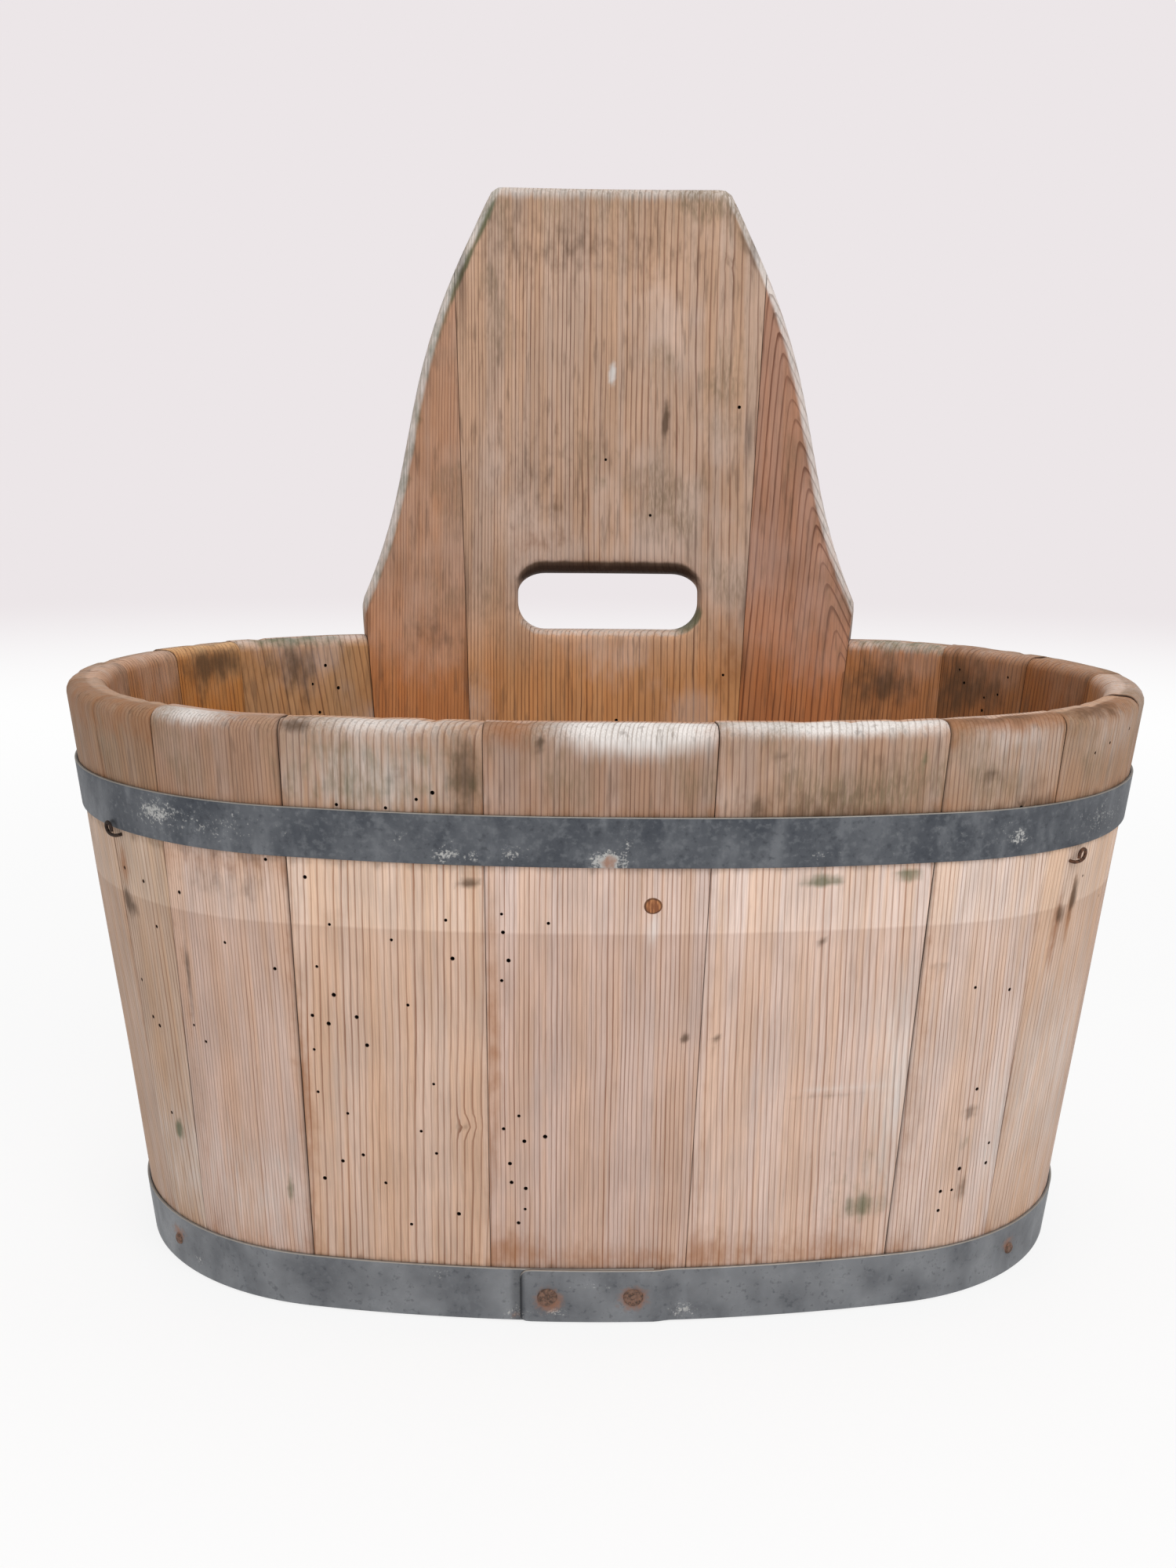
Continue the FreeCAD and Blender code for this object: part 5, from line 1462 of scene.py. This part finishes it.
def make_stave_wood():
    material, tree = new_material("weathered_scrubbed_softwood")
    marked = {
        name: add_node(tree, "ShaderNodeAttribute", {"attribute_name": name}, {})
        for name in ("ring", "fibre_place", "skin", "growth", "tint")
    }
    aged, stained, bleach = add_node(tree, "ShaderNodeSeparateColor", {}, (marked["skin"]["Color"],))
    damp_and_shade, algae, rust = add_node(tree, "ShaderNodeSeparateColor", {}, (marked["growth"]["Color"],))
    cloudy = lay_patterns(tree, marked["fibre_place"]["Vector"], STAVE_PATTERNS)

    # Growth rings: a thin dark line of summer wood ends each year, in some years darker than in others
    ring = marked["ring"]["Fac"]
    counted = add_node(tree, "ShaderNodeMath", TIMES_PLUS, (cloudy["wander"], 0.9, ring))[0]
    counted = add_node(tree, "ShaderNodeMath", TIMES_PLUS, (cloudy["shiver"], 0.14, counted))[0]
    year = add_node(tree, "ShaderNodeMath", {"operation": "FLOOR"}, (counted,))[0]
    season = add_node(tree, "ShaderNodeMath", {"operation": "FRACT"}, (counted,))[0]
    chance = add_node(tree, "ShaderNodeTexWhiteNoise", {"noise_dimensions": "1D"}, {"W": year})[0]
    spring_end = add_node(tree, "ShaderNodeMath", TIMES_PLUS, (chance, -0.2, 0.76))[0]
    summer = add_node(tree, "ShaderNodeMapRange", SMOOTH, (season, spring_end, 0.9))[0]
    winter = add_node(tree, "ShaderNodeMapRange", SMOOTH, (season, 0.94, 1.0, 1.0, 0.0))[0]
    summer = add_node(tree, "ShaderNodeMath", TIMES, (summer, winter))[0]
    dark_year = add_node(tree, "ShaderNodeMath", TIMES_PLUS, (chance, 0.4, 0.6))[0]
    clear = add_node(tree, "ShaderNodeMapRange", SMOOTH, (cloudy["faint"], 0.3, 0.65, 0.6, 1.0))[0]
    line = summer
    for share in (dark_year, clear, marked["tint"]["Alpha"]):
        line = add_node(tree, "ShaderNodeMath", TIMES, (line, share))[0]
    woods = {}
    for look, (spring_wood, summer_wood) in WOODS.items():
        woods[look] = lay_coats(tree, colour(spring_wood), [(COLOUR_MIX, line, colour(summer_wood))])

    # Bands along the grain, some reddish and some pale, and a greyish bloom left in patches
    band = add_node(tree, "ShaderNodeMapRange", SMOOTH, (cloudy["band"], 0.36, 0.64))[0]
    banded = lay_coats(tree, REDDISH_YEARS, [(COLOUR_MIX, band, PALE_YEARS)])
    washed = add_node(tree, "ShaderNodeMapRange", SMOOTH, (cloudy["washed"], 0.48, 0.72, 0.0, 0.35))[0]
    uneven = add_node(tree, "ShaderNodeMapRange", SMOOTH, (cloudy["cloud"], 0.3, 0.7, 0.9, 1.08))[0]
    fibrous = add_node(tree, "ShaderNodeMapRange", SMOOTH, (cloudy["fibre"], 0.3, 0.7, 0.9, 1.08))[0]

    # Bleached places fray along the grain, and soil stays in streaks, most of it on weathered wood
    frayed = add_node(tree, "ShaderNodeMath", TIMES_PLUS, (cloudy["streaks"], 0.7, -0.35))[0]
    frayed = add_node(tree, "ShaderNodeMath", PLUS, (bleach, frayed))[0]
    bleached = add_node(tree, "ShaderNodeMapRange", SMOOTH, (frayed, 0.1, 1.0))[0]
    weathered = add_node(tree, "ShaderNodeMath", LARGER, (aged, stained))[0]
    held = add_node(tree, "ShaderNodeMath", TIMES_PLUS, (weathered, 0.3, 0.1))[0]
    streaked = add_node(tree, "ShaderNodeMapRange", SMOOTH, (cloudy["streaks"], 0.53, 0.74))[0]
    soiled = add_node(tree, "ShaderNodeMath", TIMES, (streaked, held))[0]

    # Grime lies in broad soft patches on the aged wood, and as a film where the wood is aged beyond 1
    film = add_node(tree, "ShaderNodeMath", {"operation": "SUBTRACT"}, (aged, 1.0))[0]
    film = add_node(tree, "ShaderNodeMath", {"operation": "DIVIDE"}, (film, GRIMY))[0]
    blurred = add_node(tree, "ShaderNodeMath", TIMES_PLUS, (cloudy["cloud"], 0.9, -0.45))[0]
    film = add_node(tree, "ShaderNodeMath", PLUS, (film, blurred))[0]
    filmed = add_node(tree, "ShaderNodeMath", {"operation": "GREATER_THAN"}, (aged, 1.01))[0]
    film = add_node(tree, "ShaderNodeMath", TIMES, (film, filmed))[0]
    film = add_node(tree, "ShaderNodeMapRange", SMOOTH, (film, 0.1, 0.9))[0]
    grime = add_node(tree, "ShaderNodeMapRange", SMOOTH, (cloudy["grimy"], 0.46, 0.68))[0]
    grime = add_node(tree, "ShaderNodeMath", LARGER, (grime, film))[0]
    gritty = add_node(tree, "ShaderNodeMapRange", SMOOTH, (cloudy["grit"], 0.35, 0.65, 0.25, 0.65))[0]
    for share in (gritty, aged):
        grime = add_node(tree, "ShaderNodeMath", TIMES, (grime, share))[0]

    coats = [
        (COLOUR_MIX, marked["skin"]["Alpha"], woods["rubbed"]),
        (COLOUR_MIX, aged, woods["aged"]),
        (COLOUR_MIX, stained, woods["stained"]),
        (COLOUR_TIMES, 1.0, banded),
        (COLOUR_MIX, washed, colour(WASHED)),
        (COLOUR_TIMES, 1.0, marked["tint"]["Color"]),
        (COLOUR_MIX, bleached, woods["bleached"]),
        (COLOUR_MIX, soiled, colour(SOIL)),
        (COLOUR_MIX, grime, colour(GRIME)),
        (COLOUR_TIMES, 1.0, uneven),
        (COLOUR_TIMES, 1.0, fibrous),
    ]
    ragged = add_node(tree, "ShaderNodeMath", TIMES_PLUS, (cloudy["patch"], 0.9, -0.45))[0]
    for amount, (start, full, cover, tone) in zip((rust, damp_and_shade, algae), SOAKED.values()):
        amount = add_node(tree, "ShaderNodeMath", PLUS, (amount, ragged))[0]
        share = add_node(tree, "ShaderNodeMapRange", SMOOTH, (amount, start, full, 0.0, cover))[0]
        coats.append((COLOUR_MIX, share, colour(tone)))
    # Dark dirt in the joints, and painted shade in the worm holes and the slot's throat
    coats.append((COLOUR_MIX, marked["growth"]["Alpha"], colour(DIRT_AND_RECESS_SHADE)))
    body = lay_coats(tree, woods["scrubbed"], coats)

    height = add_node(tree, "ShaderNodeMath", TIMES, (cloudy["fibre"], 0.5))[0]
    height = add_node(tree, "ShaderNodeMath", TIMES_PLUS, (summer, 0.7, height))[0]
    height = add_node(tree, "ShaderNodeMath", TIMES_PLUS, (cloudy["patch"], 0.35, height))[0]
    rough = add_node(tree, "ShaderNodeMapRange", SMOOTH, (cloudy["fibre"], 0.2, 0.8, 0.68, 0.86))[0]
    relief = {"Strength": 0.8, "Distance": GRAIN_RELIEF * MM, "Height": height}
    shader = add_node(tree, "ShaderNodeBsdfPrincipled", {}, {
        "Base Color": body,
        "Roughness": rough,
        "IOR": 1.5,
        "Specular IOR Level": 0.3,
        "Normal": add_node(tree, "ShaderNodeBump", {}, relief)[0],
    })
    add_node(tree, "ShaderNodeOutputMaterial", {}, {"Surface": shader[0]})
    return material


# Galvanised iron strip, dulled outdoors: grey zinc with a soft mottle, darker clouds and white bloom, and a
# painted highlight along its top edge
ZINC_RELIEF = 0.4
ZINC_PATTERNS = {
    "cloud": (28.0, 3.0, (1, 1, 1)),
    "drip": (9.0, 4.0, (1, 2.5, 1)),  # pale runs down the strip
    "mottle": (2.6, 5.0, (1, 1, 1)),
    "speck": (0.9, 2.0, (1, 1, 1)),  # crumbs of bloom
}
ZINC_PALE = "#8b8e92"
ZINC_DARK = "#33363c"
ZINC_BLOOM = "#c3c2be"
HOOP_RUST = "#96603c"
# Painted shadow along the lapped end
LAP_END_SHADOW = "#232428"
# Painted highlight along the top edge
TOP_EDGE_HIGHLIGHT = "#bdb6ac"


def make_galvanised_iron(name, dark, pale):
    material, tree = new_material(name)
    place = add_node(tree, "ShaderNodeAttribute", {"attribute_name": "strip_place"}, {})["Vector"]
    wear = add_node(tree, "ShaderNodeAttribute", {"attribute_name": "strip_wear"}, {})
    rust, bloom, dirt_and_shade = add_node(tree, "ShaderNodeSeparateColor", {}, (wear["Color"],))
    cloudy = lay_patterns(tree, place, ZINC_PATTERNS)
    mottle = cloudy["mottle"]
    clouded = add_node(tree, "ShaderNodeMapRange", SMOOTH, (cloudy["cloud"], 0.3, 0.7))[0]
    dripped = add_node(tree, "ShaderNodeMapRange", SMOOTH, (cloudy["drip"], 0.5, 0.75, 0.0, 0.45))[0]
    pale_spots = add_node(tree, "ShaderNodeMapRange", SMOOTH, (mottle, 0.48, 0.7, 0.0, 0.4))[0]
    dark_spots = add_node(tree, "ShaderNodeMapRange", SMOOTH, (mottle, 0.46, 0.26, 0.0, 0.45))[0]
    crumbs = add_node(tree, "ShaderNodeMath", TIMES_PLUS, (mottle, 1.0, -1.3))[0]
    crumbs = add_node(tree, "ShaderNodeMath", TIMES_PLUS, (cloudy["speck"], 1.6, crumbs))[0]
    white = add_node(tree, "ShaderNodeMath", PLUS, (bloom, crumbs))[0]
    white = add_node(tree, "ShaderNodeMapRange", SMOOTH, (white, 0.5, 0.95, 0.0, 0.75))[0]
    rusty = add_node(tree, "ShaderNodeMath", TIMES_PLUS, (mottle, 1.0, -0.5))[0]
    rusty = add_node(tree, "ShaderNodeMath", PLUS, (rust, rusty))[0]
    rusty = add_node(tree, "ShaderNodeMapRange", SMOOTH, (rusty, 0.25, 0.95, 0.0, 0.75))[0]
    # Painted highlight along the top edge
    edge_highlight = add_node(tree, "ShaderNodeMath", TIMES, (wear["Alpha"], 0.75))[0]
    body = lay_coats(tree, colour(dark), [
        (COLOUR_MIX, clouded, colour(pale)),
        (COLOUR_MIX, dripped, colour(ZINC_PALE)),
        (COLOUR_MIX, pale_spots, colour(ZINC_PALE)),
        (COLOUR_MIX, dark_spots, colour(ZINC_DARK)),
        (COLOUR_MIX, white, colour(ZINC_BLOOM)),
        (COLOUR_MIX, rusty, colour(HOOP_RUST)),
        (COLOUR_MIX, dirt_and_shade, colour(LAP_END_SHADOW)),
        (COLOUR_MIX, edge_highlight, colour(TOP_EDGE_HIGHLIGHT)),
    ])
    dull = add_node(tree, "ShaderNodeMath", LARGER, (white, rusty))[0]
    height = add_node(tree, "ShaderNodeMath", TIMES_PLUS, (mottle, 0.5, cloudy["cloud"]))[0]
    relief = {"Strength": 0.5, "Distance": ZINC_RELIEF * MM, "Height": height}
    shader = add_node(tree, "ShaderNodeBsdfPrincipled", {}, {
        "Base Color": body,
        "Roughness": add_node(tree, "ShaderNodeMapRange", SMOOTH, (mottle, 0.3, 0.7, 0.48, 0.66))[0],
        "Metallic": add_node(tree, "ShaderNodeMapRange", SMOOTH, (dull, 0.0, 0.8, 0.75, 0.1))[0],
        "Normal": add_node(tree, "ShaderNodeBump", {}, relief)[0],
    })
    add_node(tree, "ShaderNodeOutputMaterial", {}, {"Surface": shader[0]})
    return material


# Rusted iron of nails and rivets: brown scale with orange powder, quite without shine
RUST_RELIEF = 0.3
RUST_PATTERNS = {
    "scale": (1.5, 4.0, (1, 1, 1)),
    "powder": (0.6, 3.0, (1, 1, 1)),
}
RUST_POWDER = "#a5765a"


def make_rusted_iron(name, scale_dark, scale_pale, powdered):
    material, tree = new_material(name)
    place = add_node(tree, "ShaderNodeTexCoord", {}, {})["Object"]
    cloudy = lay_patterns(tree, place, RUST_PATTERNS)
    scaled = add_node(tree, "ShaderNodeMapRange", SMOOTH, (cloudy["scale"], 0.35, 0.65))[0]
    powder = add_node(tree, "ShaderNodeMapRange", SMOOTH, (cloudy["powder"], 0.5, 0.75, 0.0, powdered))[0]
    body = lay_coats(tree, colour(scale_dark), [
        (COLOUR_MIX, scaled, colour(scale_pale)),
        (COLOUR_MIX, powder, colour(RUST_POWDER)),
    ])
    relief = {"Strength": 0.7, "Distance": RUST_RELIEF * MM, "Height": cloudy["scale"]}
    shader = add_node(tree, "ShaderNodeBsdfPrincipled", {}, {
        "Base Color": body,
        "Roughness": 0.82,
        "Metallic": 0.25,
        "Normal": add_node(tree, "ShaderNodeBump", {}, relief)[0],
    })
    add_node(tree, "ShaderNodeOutputMaterial", {}, {"Surface": shader[0]})
    return material


# Turned wooden plugs and dowels, end grain showing: orange brown, darker in streaks
PLUG_RELIEF = 0.2
PLUG_PATTERNS = {"grain": (1.1, 3.0, (1, 6, 6))}
PLUG_DARK = "#854f2c"
PLUG_PALE = "#bd8050"
PLUG_DIRT = "#4a2d19"


def make_plug_wood():
    material, tree = new_material("turned_end_grain_softwood")
    place = add_node(tree, "ShaderNodeTexCoord", {}, {})["Object"]
    outline = add_node(tree, "ShaderNodeAttribute", {"attribute_name": "outline"}, {})["Fac"]
    grain = lay_patterns(tree, place, PLUG_PATTERNS)["grain"]
    grained = add_node(tree, "ShaderNodeMapRange", SMOOTH, (grain, 0.4, 0.6))[0]
    dirty = add_node(tree, "ShaderNodeMath", TIMES, (outline, 0.75))[0]
    body = lay_coats(tree, colour(PLUG_DARK), [
        (COLOUR_MIX, grained, colour(PLUG_PALE)),
        (COLOUR_MIX, dirty, colour(PLUG_DIRT)),
    ])
    relief = {"Strength": 0.5, "Distance": PLUG_RELIEF * MM, "Height": grain}
    shader = add_node(tree, "ShaderNodeBsdfPrincipled", {}, {
        "Base Color": body,
        "Roughness": 0.75,
        "Normal": add_node(tree, "ShaderNodeBump", {}, relief)[0],
    })
    add_node(tree, "ShaderNodeOutputMaterial", {}, {"Surface": shader[0]})
    return material


stave_wood = make_stave_wood()
# The lower hoop's paler copy of the same galvanised iron paints the light that it catches from the white
# floor
dark_iron = make_galvanised_iron("dulled_galvanised_iron", "#4a4e55", "#686b70")
floor_lit_iron = make_galvanised_iron("galvanised_iron_painted_floor_light", "#696b6f", "#8c8e91")
rusted_iron = make_rusted_iron("rusted_iron", "#55443b", "#86695a", 0.7)
black_wire = make_rusted_iron("rusted_black_iron_wire", "#211a17", "#3c2d25", 0.2)
brown_wire = make_rusted_iron("rusted_brown_iron_wire", "#3f2a20", "#6f4a35", 0.35)
plug_wood = make_plug_wood()

for stave in STAVES:
    make_stave(stave)
for board in ("bottom_board_front", "bottom_board_middle", "bottom_board_back"):
    make_bottom_board(board)
make_hoop("lower_hoop_strip", "lower_hoop", floor_lit_iron, 0.0)
make_hoop("upper_hoop_strip", "upper_hoop", dark_iron, UPPER_HOOP_TILT)
LAP_OUT = HOOP_FIT + 2 * HOOP_THICKNESS + HOOP_FIT
rivets = [rivet_shape(3), rivet_shape(8)]
for hoop in ("lower_hoop", "upper_hoop"):
    node = hoop + "_rivets"
    set_on_wall(hoop + "_rivet_heads", node, rusted_iron, rivets, [LAP_OUT, LAP_OUT])
nails = [nail_shape(4), nail_shape(6)]
nail_out = HOOP_FIT + HOOP_THICKNESS
set_on_wall("hoop_nail_heads", "lower_hoop_nails", rusted_iron, nails, [nail_out, nail_out])
plug = set_on_wall("plug_end", "front_plug", plug_wood, [plug_shape(2)], [0.0])
outline = np.arange(len(plug.data.vertices)) < PLUG_OUTLINE * PLUG_STEPS
set_attribute(plug, "outline", "FLOAT", "value", outline)
make_stop_nail("curled_nail_left", "stop_nail_left", black_wire, -1)
make_stop_nail("curled_nail_right", "stop_nail_right", brown_wire, 1)
for dowels in ("bottom_dowels", "board_dowels"):
    frame["nodes"][dowels].data.materials.clear()
    frame["nodes"][dowels].data.materials.append(plug_wood)


# Floor, light and camera

# Width of the floor, and distances from the tub's middle at which it starts and ends to fade, in metres
FLOOR_SIZE = 40.0
FLOOR_CLEAR = 0.45
FLOOR_FADED = 1.6
FLOOR_GLOW = 0.85  # how much of the floor's white doesn't depend on the lamps
FLOOR_WHITE = "#fefefe"
FLOOR_PATTERNS = {"tooth": (3.0, 2.0, (1, 1, 1))}
PAPER_DARK = "#f6f4f4"
PAPER_PALE = "#f9f8f8"
BACKGROUND = "#ece6e8"
WORLD_LIGHT = 0.45
# Lamps: place and width in metres, and power in watts
LAMPS = {
    "key": ((0.75, -1.7, 1.75), 1.5, 25.0),
    "fill": ((-1.5, -1.2, 1.1), 1.4, 5.0),
    "top": ((0.0, 0.5, 2.2), 1.6, 13.0),
}
LAMP_AIM = Vector((0, 0, 0.2))
CAMERA_PLACE = Vector((-33.4, -802.8, 380.6))
CAMERA_TILT_DOWN = 0.2061
CAMERA_TURN = 0.0311
CAMERA_ROLL = 0.0105
CAMERA_LENS = 39.19
CAMERA_SENSOR = 36.0


# Matt white paper: a faint tooth, quite without shine
def make_floor():
    material, tree = new_material("matt_white_paper")
    place = add_node(tree, "ShaderNodeTexCoord", {}, {})["Object"]
    tooth = lay_patterns(tree, place, FLOOR_PATTERNS)["tooth"]
    shader = add_node(tree, "ShaderNodeBsdfPrincipled", {}, {
        "Base Color": lay_coats(tree, colour(PAPER_DARK), [(COLOUR_MIX, tooth, colour(PAPER_PALE))]),
        "Roughness": 0.95,
        "Specular IOR Level": 0.1,
    })
    # Well away from the tub the floor runs into the pale background
    reach = add_node(tree, "ShaderNodeVectorMath", {"operation": "LENGTH"}, (place,))["Value"]
    rays = add_node(tree, "ShaderNodeLightPath", {}, {})
    seen = add_node(tree, "ShaderNodeMath", LARGER, (rays["Is Camera Ray"], rays["Is Glossy Ray"]))[0]
    far = (reach, FLOOR_CLEAR, FLOOR_FADED, FLOOR_GLOW, 1.0)
    far = add_node(tree, "ShaderNodeMapRange", SMOOTH, far)[0]
    far = add_node(tree, "ShaderNodeMath", TIMES, (seen, far))[0]
    faded = add_node(tree, "ShaderNodeMapRange", SMOOTH, (reach, FLOOR_FADED, 2 * FLOOR_FADED))[0]
    pale = lay_coats(tree, colour(FLOOR_WHITE), [(COLOUR_MIX, faded, colour(BACKGROUND))])
    glow = add_node(tree, "ShaderNodeEmission", {}, {"Color": pale})[0]
    surface = add_node(tree, "ShaderNodeMixShader", {}, (far, shader[0], glow))[0]
    add_node(tree, "ShaderNodeOutputMaterial", {}, {"Surface": surface})
    bpy.ops.mesh.primitive_plane_add(size=FLOOR_SIZE)
    floor = bpy.context.object
    floor.name = "floor"
    floor.data.materials.append(material)


def make_world():
    """White light from all round, behind which the camera sees the pale background."""
    world = bpy.data.worlds.new("soft_studio")
    bpy.context.scene.world = world
    world.use_nodes = True
    tree = world.node_tree
    tree.nodes.clear()
    rays = add_node(tree, "ShaderNodeLightPath", {}, {})
    seen = add_node(tree, "ShaderNodeMath", LARGER, (rays["Is Camera Ray"], rays["Is Transmission Ray"]))[0]
    background = add_node(tree, "ShaderNodeBackground", {}, {
        "Color": lay_coats(tree, colour("#ffffff"), [(COLOUR_MIX, seen, colour(BACKGROUND))]),
        "Strength": add_node(tree, "ShaderNodeMapRange", SMOOTH, (seen, 0.0, 1.0, WORLD_LIGHT, 1.0))[0],
    })
    add_node(tree, "ShaderNodeOutputWorld", {}, {"Surface": background[0]})


def make_lamps():
    """Large soft lamps, aimed at the tub and out of the camera's sight."""
    for name, (place, size, power) in LAMPS.items():
        lamp = bpy.data.lights.new(name, "AREA")
        lamp.size = size
        lamp.energy = power
        holder = bpy.data.objects.new(name, lamp)
        holder.location = place
        aim = LAMP_AIM - holder.location
        holder.rotation_euler = aim.to_track_quat("-Z", "Y").to_euler()
        holder.visible_camera = False
        bpy.context.scene.collection.objects.link(holder)


def make_camera():
    """Camera in front of the tub, higher than the rim and tilted a little down."""
    data = bpy.data.cameras.new("camera")
    data.lens = CAMERA_LENS
    data.sensor_width = CAMERA_SENSOR
    camera = bpy.data.objects.new("camera", data)
    turn = Matrix.Rotation(-CAMERA_TURN, 4, "Z")
    tilt = Matrix.Rotation(math.pi / 2 - CAMERA_TILT_DOWN, 4, "X")
    roll = Matrix.Rotation(CAMERA_ROLL, 4, "Z")
    camera.matrix_world = Matrix.Translation(CAMERA_PLACE * MM) @ turn @ tilt @ roll
    bpy.context.scene.collection.objects.link(camera)
    bpy.context.scene.camera = camera


make_floor()
make_world()
make_lamps()
make_camera()
bpy.context.scene.view_settings.view_transform = "Standard"
